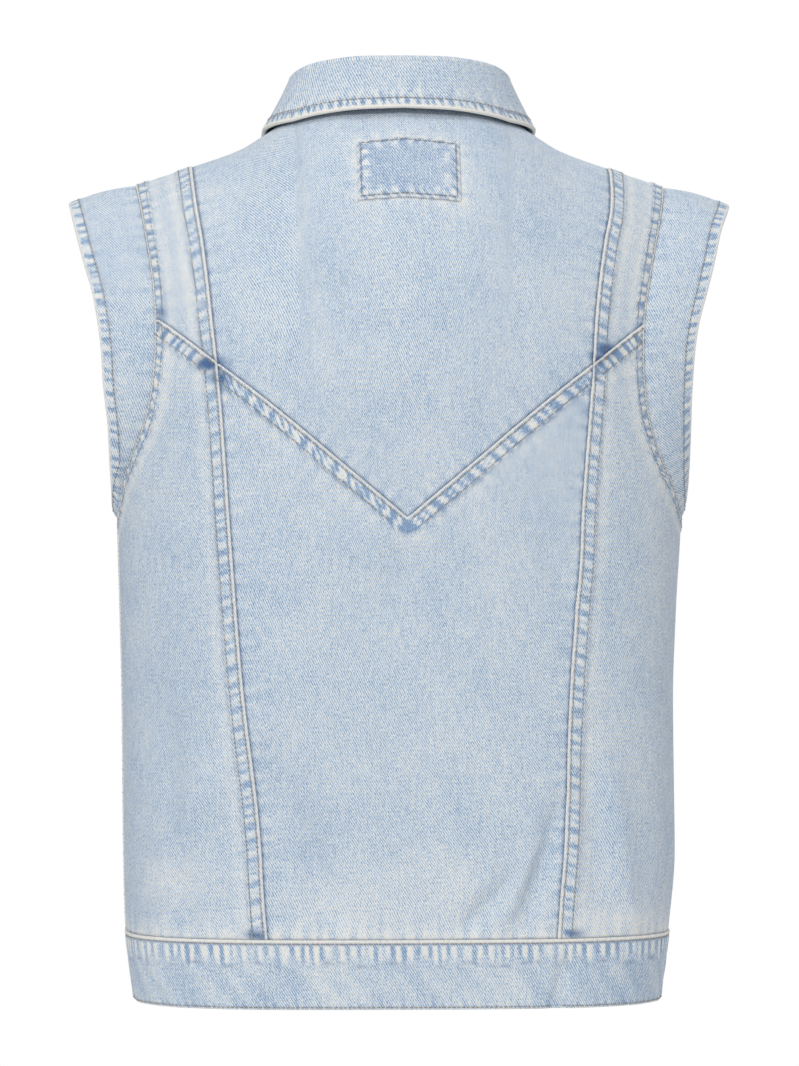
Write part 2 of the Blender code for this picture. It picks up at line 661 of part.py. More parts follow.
def collar():
    """Stand and fall of the collar as one turned-over cloth from the neck seam."""
    share = even(COLLAR_STATIONS)
    halves = []
    for side in (-1, 1):
        neck = join(neck_back(side), neck_front(side)[neck_front(side)[:, 1] > NECK_FRONT * 0.975])
        base = sample(neck, share)
        seam = surface(base[:, 0], base[:, 1])
        away = outward(base[:, 0], base[:, 1])
        roll = collar_row(share, "roll")
        edge = collar_row(share, "edge")
        roll[:, 0] *= side
        edge[:, 0] *= side
        halves.append((seam, away, roll, edge))
    right, left = halves
    seam, away, roll, edge = [np.concatenate([right[k][::-1], left[k][1:]]) for k in range(4)]
    edge = rest_on_body(edge)
    along = unit(np.gradient(seam, axis=0))
    into = unit(np.cross(along, away))
    plan = edge * np.array([1.0, 1.0, 0.0])
    flip = np.sign(np.sum(into * plan, axis=-1, keepdims=True))
    into = into * flip
    up = unit(roll - seam)
    side = unit(edge - seam - up * np.sum((edge - seam) * up, axis=-1, keepdims=True))
    hub = roll - up * COLLAR_TURN
    stops = []
    stops.append(seam)
    stops.append(seam + (hub - side * COLLAR_TURN - seam) * 0.12)
    stops.append(seam + (hub - side * COLLAR_TURN - seam) * 0.60)
    for angle in (180, 135, 90, 45, 0):
        turn = math.radians(angle)
        stops.append(hub + side * COLLAR_TURN * math.cos(turn) + up * COLLAR_TURN * math.sin(turn))
    last = stops[-1]
    bow = unit(np.cross(unit(np.gradient(roll, axis=0)), edge - last))
    bow = bow * np.sign(np.sum(bow * side, axis=-1, keepdims=True))
    both = np.concatenate([share[::-1], share[1:]])
    push = smooth(both, COLLAR["along"], COLLAR["bow"])[:, None]
    for part in (0.30, 0.65):
        stops.append(last + (edge - last) * part + bow * push)
    stops.append(edge)
    middle = np.stack(stops)
    tangent = np.gradient(middle, axis=0)
    run = unit(np.gradient(middle, axis=1))
    across = unit(np.cross(run, tangent))
    probe = np.sum(across[4] * up, axis=-1, keepdims=True)
    across = across * np.sign(probe)
    outer = middle + across * COLLAR_HALF
    inner = middle - across * COLLAR_HALF
    outer[0] = seam - into * COLLAR_HALF + away * SEAM_GAP
    inner[0] = seam + into * COLLAR_HALF + away * SEAM_GAP
    shell("collar", outer, inner, "denim")


def collar_row(share, name):
    """Roll line or fall edge of the collar from its table."""
    columns = [smooth(share, COLLAR["along"], COLLAR[name + axis]) for axis in ("_x", "_y", "_z")]
    return np.stack(columns, -1)


def run_under(x, y):
    """Run of the body surface above or below a place in plan: y = depth * sin(quarter turn)."""
    face = np.where(y >= 0.0, 1.0, -1.0)
    run = face * 0.1
    for _ in range(6):
        width, square, depth = section(run, x)
        reach = depth * (1.0 - np.clip(np.abs(x) / width, 0.0, 0.999)**square)**(1.0 / square)
        run = face * CAP_RUN * np.arcsin(np.clip(np.abs(y) / reach, 0.001, 1.0)) / (math.pi / 2)
    return run


def rest_on_body(points):
    """Points kept at least the collar's rest height off the body surface."""
    moved = points.copy()
    for _ in range(3):
        run = run_under(moved[:, 0], moved[:, 1])
        angle = angle_at(moved[:, 0], run)
        foot = bare(angle, run)
        away = outward(angle, run)
        height = np.sum((moved - foot) * away, axis=-1)
        moved = moved + away * np.maximum(COLLAR_REST - height, 0.0)[:, None]
    return moved


# Hem band


def hem_band():
    """Double band round the hem, its right end lapping over its left end."""
    run = CAP_RUN - CAP_DEPTH - HEM_SEAM
    start = float(angle_at(np.array(PLACKET_HALF), -run))
    walk = math.pi + start - np.linspace(0.0, 2 * math.pi + 2 * start, 1200)
    points = bare_round(walk, run)
    way = np.concatenate([[0.0], np.cumsum(np.linalg.norm(np.diff(points, axis=0), axis=1))])
    at = np.linspace(0.0, way[-1], BAND_STATIONS + 1)
    walk = np.interp(at, way, walk)
    left_over = way[-1] - at
    sink = smooth(left_over, (0.0, 2 * PLACKET_HALF + 0.004, 2 * PLACKET_HALF + BAND_EASE, way[-1]),
                  (1.0, 1.0, 0.0, 0.0)) * (BAND_LAYER + SEAM_GAP)
    outer = []
    inner = []
    for drop in BAND_ROWS:
        base = bare_round(walk, run + drop)
        ahead = bare_round(walk + 1e-4, run + drop) - bare_round(walk - 1e-4, run + drop)
        down = bare_round(walk, run + drop + 1e-4) - bare_round(walk, run + drop - 1e-4)
        away = unit(np.cross(ahead, down))
        rise = BAND_RISE if drop > 0.002 else BAND_RISE * 0.6
        outer.append(base + away * (rise - sink)[:, None])
        inner.append(base + away * (BAND_RISE - BAND_LAYER - sink)[:, None])
    outer = np.stack(outer)
    inner = np.stack(inner)
    shell("hem_band", outer, inner, "denim")


def bare_round(walk, run):
    """Body surface at an angle counted all round the body: 0 back, +-pi front."""
    fold = (walk + math.pi) % (2 * math.pi) - math.pi
    behind = np.abs(fold) <= math.pi / 2
    angle = np.where(behind, fold, np.sign(fold) * math.pi - fold)
    back = bare(angle, np.full(angle.shape, run))
    front = bare(angle, np.full(angle.shape, -run))
    return np.where(behind[:, None], back, front)


# Neck patch and buttons


def neck_patch():
    """Plain patch of darker denim on the centre yoke."""
    x = PATCH_CENTRE + np.linspace(-PATCH_HALF, PATCH_HALF, 11)
    top = run_at(0.0, PATCH_TOP, 1)
    bottom = run_at(0.0, PATCH_BOTTOM, 1)
    run = np.linspace(top, bottom, 8)
    grid = line(x[None, :], run[:, None])
    low = surface(grid[..., 0], grid[..., 1], SEAM_GAP * 1.3)
    high = surface(grid[..., 0], grid[..., 1], SEAM_GAP * 1.3 + PATCH_LAYER)
    shell("neck_patch", high, low, "patch_denim")


def button(name, height):
    """Domed metal button with a turned rim, standing off the front."""
    run = run_at(np.array(0.0), np.array(height), -1)
    angle = np.array(0.0)
    away = outward(angle, run)
    lift = PLACKET_RISE if height > HEM_SEAM else BAND_RISE
    foot = surface(angle, run, lift + SEAM_GAP + 0.0002)
    side = np.array([1.0, 0.0, 0.0])
    up = unit(np.cross(side, away))
    turn = np.linspace(0.0, 2 * math.pi, BUTTON_SECTORS, endpoint=False)
    ring = np.cos(turn)[:, None] * side + np.sin(turn)[:, None] * up
    points = [foot[None]]
    for radius, rise in zip(BUTTON["radius"], BUTTON["rise"]):
        points.append(foot + ring * radius + away * rise)
    points.append((foot + away * BUTTON_TOP)[None])
    points = np.concatenate(points)
    rings = len(BUTTON["radius"])
    faces = []
    step = np.arange(BUTTON_SECTORS)
    nxt = (step + 1) % BUTTON_SECTORS
    faces.append(np.stack([np.zeros_like(step), 1 + nxt, 1 + step], 1))
    for k in range(rings - 1):
        low = 1 + k * BUTTON_SECTORS
        high = low + BUTTON_SECTORS
        faces.append(np.stack([low + step, low + nxt, high + nxt], 1))
        faces.append(np.stack([low + step, high + nxt, high + step], 1))
    last = 1 + (rings - 1) * BUTTON_SECTORS
    top = np.full_like(step, len(points) - 1)
    faces.append(np.stack([last + step, last + nxt, top], 1))
    faces = np.concatenate(faces)
    a, b, c = points[faces[:, 0]], points[faces[:, 1]], points[faces[:, 2]]
    if np.einsum("ij,ij->i", a - foot, np.cross(b - foot, c - foot)).sum() < 0.0:
        faces = faces[:, ::-1]
    add_object(name, points, faces, "button_metal")


# Scene


def clear():
    """Empty scene with the vest's collection."""
    for item in list(bpy.data.objects):
        bpy.data.objects.remove(item, do_unlink=True)
    group = bpy.data.collections.get(NAME) or bpy.data.collections.new(NAME)
    if group.name not in bpy.context.scene.collection.children:
        bpy.context.scene.collection.children.link(group)


def material(name, colour, roughness, metallic):
    """Principled material."""
    item = bpy.data.materials.get(name) or bpy.data.materials.new(name)
    item.use_nodes = True
    shader = item.node_tree.nodes["Principled BSDF"]
    shader.inputs["Base Color"].default_value = (*colour, 1.0)
    shader.inputs["Roughness"].default_value = roughness
    shader.inputs["Metallic"].default_value = metallic


def main():
    """Vest."""
    clear()
    material("denim", (0.48, 0.60, 0.76), 0.9, 0.0)
    material("patch_denim", (0.30, 0.42, 0.62), 0.9, 0.0)
    material("button_metal", (0.55, 0.40, 0.26), 0.35, 1.0)
    strip = back_panels()
    arms = front_panels()
    for side in (1, -1):
        sleeve(side, strip[side]["armhole"], arms[side])
    placket("placket_left", -PLACKET_HALF, PLACKET_UNDER, -CLOTH - SEAM_GAP)
    placket("placket_right", -PLACKET_HALF, PLACKET_HALF, PLACKET_RISE)
    collar()
    hem_band()
    neck_patch()
    for number, height in enumerate(BUTTON_HEIGHTS, 1):
        button("button_" + str(number), height)


main()
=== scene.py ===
"""Denim vest: fine cloth, seams, stitches, metal buttons and a soft white studio."""
import math

import bpy
import numpy as np
from bpy.props import FloatProperty, FloatVectorProperty, IntProperty, PointerProperty
from mathutils import Matrix


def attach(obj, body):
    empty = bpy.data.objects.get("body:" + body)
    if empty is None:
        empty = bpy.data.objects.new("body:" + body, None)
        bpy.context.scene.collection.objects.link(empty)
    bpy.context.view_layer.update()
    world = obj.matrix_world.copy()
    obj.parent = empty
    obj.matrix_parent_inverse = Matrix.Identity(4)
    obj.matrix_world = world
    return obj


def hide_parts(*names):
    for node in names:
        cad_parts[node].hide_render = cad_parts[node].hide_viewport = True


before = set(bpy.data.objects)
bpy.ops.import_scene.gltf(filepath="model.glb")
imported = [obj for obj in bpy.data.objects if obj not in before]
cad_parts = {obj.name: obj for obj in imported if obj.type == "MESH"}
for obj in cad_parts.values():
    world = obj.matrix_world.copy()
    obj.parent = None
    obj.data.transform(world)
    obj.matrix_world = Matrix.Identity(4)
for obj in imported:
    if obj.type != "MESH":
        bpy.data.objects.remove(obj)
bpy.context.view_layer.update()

bl_info = {
    "name": "Denim Vest",
    "version": (1, 0, 0),
    "blender": (4, 5, 0),
    "location": "3D View > Sidebar > Vest",
    "description": "Builds the fine cloth, stitches and metal of a filled-out denim vest",
    "category": "Add Mesh",
}

# Body sections, from the shoulder ridge down, in metres

BODY = {
    "level": (0.000, -0.060, -0.100, -0.200, -0.278, -0.335, -0.400, -0.450, -0.500, -0.556,
              -0.600, -0.620),
    "half_width": (0.1980, 0.1970, 0.1960, 0.1945, 0.1935, 0.1920, 0.1905, 0.1900, 0.1895, 0.1880,
                   0.1825, 0.1800),
    "half_width_right": (0.1980, 0.1970, 0.1960, 0.1945, 0.1935, 0.1902, 0.1878, 0.1882, 0.1887,
                         0.1838, 0.1780, 0.1755),
    "squareness": (2.25, 2.25, 2.25, 2.30, 2.45, 2.60, 2.80, 2.90, 3.00, 3.20, 3.30, 3.30),
    "depth_back": (0.1190, 0.1215, 0.1220, 0.1220, 0.1210, 0.1190, 0.1170, 0.1160, 0.1160, 0.1160,
                   0.1140, 0.1135),
    "depth_front": (0.1190, 0.1165, 0.1155, 0.1150, 0.1150, 0.1140, 0.1130, 0.1120, 0.1120, 0.1120,
                    0.1110, 0.1105),
}
CAP_DEPTH = 0.190
CAP_RUN = 0.270

SHOULDER = {
    "across": (0.000, 0.040, 0.078, 0.095, 0.110, 0.143, 0.155, 0.1735, 0.181, 0.2045, 0.2275),
    "height": (0.0240, 0.0185, 0.0000, -0.0112, -0.0202, -0.0322, -0.0362, -0.0420, -0.0450, -0.0520,
               -0.0572),
}
PRINCESS = {
    "height": (-0.033, -0.060, -0.087, -0.114, -0.141, -0.170, -0.203, -0.238, -0.273, -0.302, -0.334,
               -0.383, -0.431, -0.464, -0.496, -0.528, -0.5555),
    "left": (0.1432, 0.1400, 0.1358, 0.1325, 0.1297, 0.1264, 0.1234, 0.1208, 0.1185, 0.1163, 0.1139,
             0.1098, 0.1043, 0.1002, 0.0973, 0.0954, 0.0930),
    "right": (0.1434, 0.1415, 0.1355, 0.1308, 0.1275, 0.1255, 0.1230, 0.1200, 0.1175, 0.1163, 0.1136,
              0.1098, 0.1077, 0.1072, 0.1056, 0.1027, 0.1008),
}
ARMHOLE = {
    "height": (-0.0472, -0.059, -0.078, -0.0975, -0.117, -0.1345, -0.1515, -0.169, -0.190, -0.208,
               -0.224, -0.239, -0.252, -0.264, -0.275),
    "back_left": (0.1815, 0.1789, 0.1755, 0.1722, 0.1695, 0.1682, 0.1680, 0.1687, 0.1710, 0.1749,
                  0.1810, 0.1868, 0.1902, 0.1922, 0.1937),
    "back_right": (0.1820, 0.1795, 0.1751, 0.1704, 0.1665, 0.1634, 0.1618, 0.1617, 0.1632, 0.1662,
                   0.1710, 0.1777, 0.1843, 0.1890, 0.1937),
    "front": (0.1810, 0.1762, 0.1697, 0.1640, 0.1600, 0.1577, 0.1567, 0.1570, 0.1598, 0.1645,
              0.1705, 0.1775, 0.1838, 0.1890, 0.1937),
}
V_SEAM = {
    "across": (0.0000, 0.0254, 0.0487, 0.0735, 0.1070, 0.1260, 0.1465, 0.1650),
    "height": (-0.2735, -0.2520, -0.2325, -0.2115, -0.1845, -0.1700, -0.1540, -0.1400),
}
UNDERARM = -0.275
HEM_SEAM = -0.5555
HEM_RUN = CAP_RUN - CAP_DEPTH - HEM_SEAM
SHOULDER_SEAM = -0.020
FRONT_LEVEL = -0.285
NECK_HALF = 0.0715
NECK_BACK = 0.059
NECK_FRONT = -0.163
PLACKET_HALF = 0.016
PLACKET_UNDER = 0.0158
COLLAR_TURN = 0.0026
COLLAR = {
    "along": (0.000, 0.105, 0.210, 0.310, 0.400, 0.530, 0.680, 0.840, 1.000),
    "roll_x": (0.0000, 0.0250, 0.0480, 0.0655, 0.0735, 0.0715, 0.0580, 0.0380, 0.0185),
    "roll_y": (0.0515, 0.0500, 0.0405, 0.0240, 0.0020, -0.0280, -0.0570, -0.0765, -0.0865),
    "roll_z": (0.0395, 0.0393, 0.0378, 0.0345, 0.0284, 0.0150, -0.0080, -0.0280, -0.0430),
    "edge_x": (0.0000, 0.0300, 0.0600, 0.0825, 0.0932, 0.0930, 0.0905, 0.0810, 0.0620),
    "edge_y": (0.0594, 0.0566, 0.0452, 0.0240, -0.0012, -0.0265, -0.0535, -0.0755, -0.0930),
    "edge_z": (0.0045, 0.0035, 0.0000, -0.0050, -0.0070, -0.0145, -0.0330, -0.0560, -0.0800),
    "bow": (0.0004, 0.0000, -0.0004, -0.0004, -0.0004, 0.0006, 0.0016, 0.0018, 0.0018),
}
COLLAR_REST = 0.0028
SLEEVE_EDGE = {
    "height": (-0.0580, -0.077, -0.101, -0.120, -0.142, -0.160, -0.1815, -0.196, -0.2105, -0.236, -0.252,
               -0.2645),
    "left": (0.2278, 0.2230, 0.2167, 0.2113, 0.2072, 0.2050, 0.2037, 0.2022, 0.2005, 0.1994, 0.1985,
             0.1975),
    "right": (0.2278, 0.2190, 0.2125, 0.2071, 0.2010, 0.1982, 0.1967, 0.1962, 0.1962, 0.1962, 0.1962,
              0.1962),
}
SLEEVE_BACK = 0.064
SLEEVE_FRONT = 0.060
BAND_DEPTH = 0.0468
BAND_EASE = 0.040
PATCH_CENTRE = -0.0025
PATCH_HALF = 0.0346
PATCH_TOP = -0.0165
PATCH_BOTTOM = -0.0585
BUTTON_HEIGHTS = (-0.085, -0.190, -0.295, -0.400, -0.505, -0.578)

# Button profile from the centre of the back round the rim to the centre of the boss, in metres

BUTTON = {
    "radius": (0.0, 0.0060, 0.0072, 0.0080, 0.0084, 0.0085, 0.0084, 0.0080, 0.0074, 0.0068, 0.0064,
               0.0060, 0.0052, 0.0040, 0.0030, 0.0027, 0.0024, 0.0014, 0.0),
    "rise": (0.0, 0.0, 0.0001, 0.0004, 0.0008, 0.0012, 0.0016, 0.0019, 0.0020, 0.00195, 0.0017,
             0.0013, 0.0011, 0.0011, 0.0012, 0.0015, 0.0017, 0.0019, 0.0019),
}
BUTTON_STEPS = 48
BUTTONHOLE_HALF = 0.0125
BUTTONHOLE_WALL = 0.0011
BUTTONHOLE_STITCH = 0.0018

# Soft troughs and rises of the filled-out cloth, in metres

FOLDS = {
    "face": (1, 1, 1, 1, 1, 1, 1, -1, -1, -1, -1),
    "from_x": (-0.1020, -0.0710, -0.1340, 0.0930, 0.1300, 0.0300, -0.0200, 0.0700, -0.0800, 0.1200,
               -0.1300),
    "from_z": (-0.4680, -0.5150, -0.4100, -0.4350, -0.4400, -0.1500, -0.2900, -0.4300, -0.4500,
               -0.2300, -0.2500),
    "to_x": (-0.0790, -0.0400, -0.1420, 0.0500, 0.1680, 0.0900, 0.0300, 0.0950, -0.1050, 0.0700,
             -0.0800),
    "to_z": (-0.5450, -0.5460, -0.5480, -0.5380, -0.5230, -0.1200, -0.3600, -0.5300, -0.5400,
             -0.2900, -0.3000),
    "half_width": (0.0080, 0.007, 0.009, 0.012, 0.013, 0.030, 0.024, 0.012, 0.011, 0.020, 0.018),
    "rise": (-0.0064, -0.0050, -0.0030, -0.0060, 0.0060, -0.0018, -0.0016, -0.0040, -0.0042,
             -0.0028, -0.0026),
}

# Creases too fine for the solids, with the same columns as the folds

CREASES = {
    "face": (1, 1, 1, 1, 1, 1, 1, 1, 1, -1, -1, -1, -1),
    "from_x": (-0.1330, -0.1240, -0.0900, 0.0131, -0.0870, 0.0960, 0.1620, -0.0560, 0.0620, 0.0720, -0.0740,
               0.1480, -0.1500),
    "from_z": (-0.4200, -0.4200, -0.4900, -0.2960, -0.2920, -0.4600, -0.3900, -0.0700, -0.0700,
               -0.4300, -0.4400, -0.3300, -0.3400),
    "to_x": (-0.1500, -0.1270, -0.0620, 0.0028, -0.1130, 0.0780, 0.1480, -0.1020, 0.1080, 0.0900, -0.0980,
             0.1580, -0.1540),
    "to_z": (-0.5430, -0.5350, -0.5450, -0.3200, -0.3370, -0.5350, -0.5450, -0.1000, -0.1050,
             -0.5400, -0.5430, -0.5300, -0.5400),
    "half_width": (0.0090, 0.0080, 0.0060, 0.0050, 0.0060, 0.0090, 0.0090, 0.0120, 0.0120, 0.0080, 0.0080,
                   0.0100, 0.0100),
    "rise": (0.0054, -0.0034, 0.0034, -0.0024, -0.0022, -0.0020, -0.0026, -0.0012, -0.0012, -0.0026, -0.0026,
             -0.0022, -0.0022),
}

# Spots that kept their blue where thick seams cross, and paler places below nought; the broad dark rows at x
# 0.068 and x 0.156 are painted shade, of a fold on the lower back and of the left side panel

STAINS_AND_SHADE = {
    "face": (1, 1, 1, 1, 1, 1, 1, 1, 1, 1, 1, 1, 1, 1, 1),
    "x": (0.1310, 0.1245, -0.1350, -0.1290, 0.1650, 0.1010, -0.1120, 0.1560, 0.1540, 0.0460, -0.1450, 0.1505,
          -0.1570, 0.0680, -0.0200),
    "z": (-0.1705, -0.1800, -0.1610, -0.1675, -0.1390, -0.5525, -0.5525, -0.4000, -0.5160, -0.5310, -0.5440,
          -0.0900, -0.0900, -0.4830, -0.5180),
    "wide": (0.0085, 0.0050, 0.0070, 0.0045, 0.0040, 0.0065, 0.0060, 0.0260, 0.0200, 0.0320, 0.0260, 0.0120,
             0.0110, 0.0150, 0.0480),
    "tall": (0.0045, 0.0058, 0.0050, 0.0055, 0.0060, 0.0032, 0.0030, 0.1300, 0.0160, 0.0200, 0.0080, 0.0550,
             0.0550, 0.0420, 0.0260),
    "dark": (1.30, 1.00, 1.10, 0.90, 0.50, 0.95, 0.80, 0.07, -0.38, -0.24, -0.40, -0.10, -0.10, 0.06, -0.16),
}

# How the wash took each seam: wear on the strip, blue that it kept and paler cloth beside it

WORN = {
    "seam": ("plain", "yoke_princess", "yoke_arm", "low_princess", "low_arm", "v_yoke", "front_arm",
             "side"),
    "gain": (1.00, 0.65, 0.90, 0.55, 0.90, 1.50, 0.90, 0.80),
    "deep": (0.00, 0.00, 0.00, 0.00, 0.00, 0.14, 0.00, 0.00),
    "halo": (0.00, 0.40, 0.32, 0.25, 0.40, 0.12, 0.40, 0.20),
}
HALO_OFF = 0.0040
HALO_HALF = 0.0042

# Stitch rows from a folded edge, widths of laps and walls of doubled pieces, in metres

ARM_ROWS = (0.0016, 0.0068)
SIDE_ROWS = (0.0016, 0.0078)
SIDE_LAP = 0.0085
SLEEVE_ROW = 0.0075
SLEEVE_LAP = 0.0088
COLLAR_ROW = 0.0068
COLLAR_LAP = 0.0085
COLLAR_HALF_WALL = 0.0012
PLACKET_ROW = 0.0024
PLACKET_LAP = 0.0050
PLACKET_WALL = 0.0024
PLACKET_RISE = 0.0010
PLACKET_HIGHEST = 0.0004
BAND_ROW = 0.0029
BAND_FOOT_ROW = 0.0018
BAND_WALL = 0.0028
BAND_RISE = 0.0009
BAND_ALLOWANCE = 0.0165
BAND_DENT = 0.0036
BAND_DENT_X = -0.1060
BAND_CELLS = 760
PATCH_ROW = 0.0026
PATCH_WALL = 0.0010
STITCH_LIFT = 0.00005

# Distances of mesh columns from an edge: sewn sides, plain sides, the patch and the band's foot

FINE = np.array([0.0006, 0.0012, 0.0019, 0.0026, 0.0034, 0.0046, 0.0060, 0.0075, 0.0088, 0.0098, 0.0108,
                 0.0122, 0.0140])
SOFT = np.array([0.0006, 0.0014, 0.0026, 0.0042, 0.0062])
PATCH_EDGE = np.array([0.0, 0.0005, 0.0010, 0.0018, 0.0026, 0.0034, 0.0044])
BAND_FOOT = np.array([0.0055, 0.0042, 0.0030, 0.0022, 0.0015, 0.0010, 0.0005, 0.0])

# Denim noises: size across and down the cloth in metres, and share in the tone

NOISES = {
    "name": ("fine", "slub", "weft", "mottle", "cloud"),
    "across": (0.0010, 0.0013, 0.0120, 0.0050, 0.0450),
    "down": (0.0017, 0.0150, 0.0012, 0.0070, 0.0600),
    "share": (1.05, 0.34, 0.16, 0.24, 0.26),
}
TWILL_SLANT = 0.60
TWILL_SHARE = 0.54
WEAR_SHARE = 0.50
STOPS = (0.08, 0.30, 0.50, 0.70, 0.92)

# Studio lights, floor and the photo's camera, in metres, watts and degrees

LIGHTS = {
    "name": ("key", "top", "fill", "front"),
    "place": ((1.5, 3.0, 1.7), (-0.1, 1.2, 3.2), (-0.5, 3.7, -0.2), (-1.0, -3.4, 1.2)),
    "aim_height": (-0.2, -0.1, -0.3, -0.3),
    "size": (0.7, 1.6, 2.0, 2.2),
    "power": (40.0, 29.0, 6.0, 47.0),
}
WORLD_LIGHT = 0.50
FLOOR_HALF = 3.0
FLOOR_HEIGHT = -1.05
PHOTO_PIXELS = (799, 1066)
PIXEL = 0.00069
CAMERA_FAR = 3.5
CAMERA_YAW = 2.6
CAMERA_HEIGHT = -0.284

# User settings


class VestSizes(bpy.types.PropertyGroup):
    """Sizes of the cloth, the seams and the sewing."""

    cloth: FloatProperty(name="Cloth", description="Thickness of one layer of denim",
                         default=0.0014, min=0.0008, max=0.003, unit="LENGTH")
    seam_gap: FloatProperty(name="Seam gap", description="Gap between two pieces at a seam",
                            default=0.0003, min=0.0001, max=0.001, unit="LENGTH")
    seam_line: FloatProperty(name="Seam line", description="Gap that shows between two sewn edges",
                             default=0.00014, min=0.00005, max=0.001, unit="LENGTH")
    lap_rise: FloatProperty(name="Lap rise", description="Rise of the lapped cloth at a seam",
                            default=0.0008, min=0.0, max=0.002, unit="LENGTH")
    lap_width: FloatProperty(name="Lap width", description="Width of a lapped seam",
                             default=0.0115, min=0.004, max=0.02, unit="LENGTH")
    arm_lap: FloatProperty(name="Armhole lap", description="Width of the armhole's lapped seam",
                           default=0.0085, min=0.004, max=0.02, unit="LENGTH")
    first_row: FloatProperty(name="First row", description="First row of stitches from the folded edge",
                             default=0.0026, min=0.001, max=0.01, unit="LENGTH")
    second_row: FloatProperty(name="Second row", description="Second row of stitches from the folded edge",
                              default=0.0098, min=0.002, max=0.02, unit="LENGTH")
    stitch: FloatProperty(name="Stitch", description="Visible length of one stitch",
                          default=0.0023, min=0.001, max=0.006, unit="LENGTH")
    pitch: FloatProperty(name="Stitch pitch", description="Distance from one stitch to the next",
                         default=0.0032, min=0.0015, max=0.008, unit="LENGTH")
    thread: FloatProperty(name="Thread", description="Radius of the topstitching thread",
                          default=0.00034, min=0.0001, max=0.0006, unit="LENGTH")
    rope: FloatProperty(name="Roping", description="Height of the puckers between two rows of stitches",
                        default=0.00036, min=0.0, max=0.001, unit="LENGTH")
    pucker: FloatProperty(name="Pucker", description="Height of the puckers beside a seam",
                          default=0.00022, min=0.0, max=0.001, unit="LENGTH")
    twill: FloatProperty(name="Twill", description="Distance across between two twill lines",
                         default=0.0017, min=0.0005, max=0.004, unit="LENGTH")
    button_radius: FloatProperty(name="Button radius", description="Radius of a metal button",
                                 default=0.0085, min=0.004, max=0.015, unit="LENGTH")
    seed: IntProperty(name="Seed", description="Start of the pucker pattern", default=7, min=0)


def colour_property(label, words, value):
    """Colour setting in linear light from sRGB hex."""
    return FloatVectorProperty(name=label, description=words, default=linear(value), size=3,
                               min=0.0, max=1.0, subtype="COLOR")


def linear(value):
    """Linear RGB of an sRGB hex colour."""
    parts = [int(value[k:k + 2], 16) / 255.0 for k in (1, 3, 5)]
    return tuple(p / 12.92 if p <= 0.04045 else ((p + 0.055) / 1.055) ** 2.4 for p in parts)


class VestColours(bpy.types.PropertyGroup):
    """Colours of the denim, the thread, the metal and the studio."""

    deep: colour_property("Deep yarn", "Blue of the least worn yarn", "#7f9cc0")
    blue: colour_property("Blue yarn", "Blue of the washed yarn", "#a7bad0")
    mid: colour_property("Mid", "Middle tone of the washed cloth", "#c0d0e1")
    pale: colour_property("Pale yarn", "Pale tone of the washed cloth", "#dbe6f0")
    worn: colour_property("Worn edge", "Cream of the edges that the wash wore", "#efece4")
    # Painted shade in seam lines and stitch grooves, and blue kept in spots where thick seams cross
    shade: colour_property("Seam line", "Blue kept beside a seam", "#4f6d98")
    patch: colour_property("Patch", "Middle tone of the neck patch", "#b3c2d8")
    thread: colour_property("Thread", "Topstitching thread", "#9c907b")
    metal: colour_property("Metal", "Aged button metal", "#a98a66")
    studio: colour_property("Studio", "Floor and background", "#f7f7f7")


# Interpolation


def smooth(at, xs, ys):
    """Monotone cubic value of a table: Hermite basis on each cell with harmonic mean slopes."""
    xs = np.asarray(xs, float)
    ys = np.asarray(ys, float)
    if xs[0] > xs[-1]:
        xs = xs[::-1]
        ys = ys[::-1]
    step = np.diff(xs)
    slope = np.diff(ys) / step
    tangent = np.zeros_like(ys)
    same = slope[:-1] * slope[1:] > 0.0
    weight = 2.0 * slope[:-1] * slope[1:] / np.where(same, slope[:-1] + slope[1:], 1.0)
    tangent[1:-1] = np.where(same, weight, 0.0)
    tangent[0] = slope[0]
    tangent[-1] = slope[-1]
    at = np.clip(np.asarray(at, float), xs[0], xs[-1])
    cell = np.clip(np.searchsorted(xs, at) - 1, 0, len(xs) - 2)
    run = step[cell]
    u = (at - xs[cell]) / run
    rise = ys[cell] * (2 * u**3 - 3 * u**2 + 1) + ys[cell + 1] * (3 * u**2 - 2 * u**3)
    bend = tangent[cell] * (u**3 - 2 * u**2 + u) + tangent[cell + 1] * (u**3 - u**2)
    return rise + bend * run


def spline(knots, at):
    """Catmull-Rom curve through knots along the first axis, at places counted in knots."""
    at = np.clip(np.asarray(at, float), 0.0, len(knots) - 1.0)
    cell = np.minimum(at.astype(int), len(knots) - 2)
    u = (at - cell).reshape((-1,) + (1,) * (knots.ndim - 1))
    p0 = knots[np.maximum(cell - 1, 0)]
    p1 = knots[cell]
    p2 = knots[cell + 1]
    p3 = knots[np.minimum(cell + 2, len(knots) - 1)]
    return 0.5 * (2 * p1 + (p2 - p0) * u + (2 * p0 - 5 * p1 + 4 * p2 - p3) * u**2
                  + (3 * p1 - p0 - 3 * p2 + p3) * u**3)


def unit(vectors):
    """Vectors scaled to length one."""
    length = np.linalg.norm(vectors, axis=-1, keepdims=True)
    return vectors / np.maximum(length, 1e-12)


def bell(at, centre, half):
    """exp(-((at - centre) / half)^2)."""
    return np.exp(-((at - centre) / half) ** 2)


def ramp(at, low, high):
    """Smooth step 3t^2 - 2t^3 from low to high."""
    t = np.clip((at - low) / (high - low), 0.0, 1.0)
    return t * t * (3 - 2 * t)


def even(count):
    """Even shares from nought to one."""
    return np.linspace(0.0, 1.0, count + 1)


# Body surface, run counts down from the ridge: back positive, front negative


def level_of(run):
    """Section level for a run over the surface."""
    run = np.abs(run)
    return np.where(run < CAP_RUN, -run * CAP_DEPTH / CAP_RUN, -CAP_DEPTH - (run - CAP_RUN))


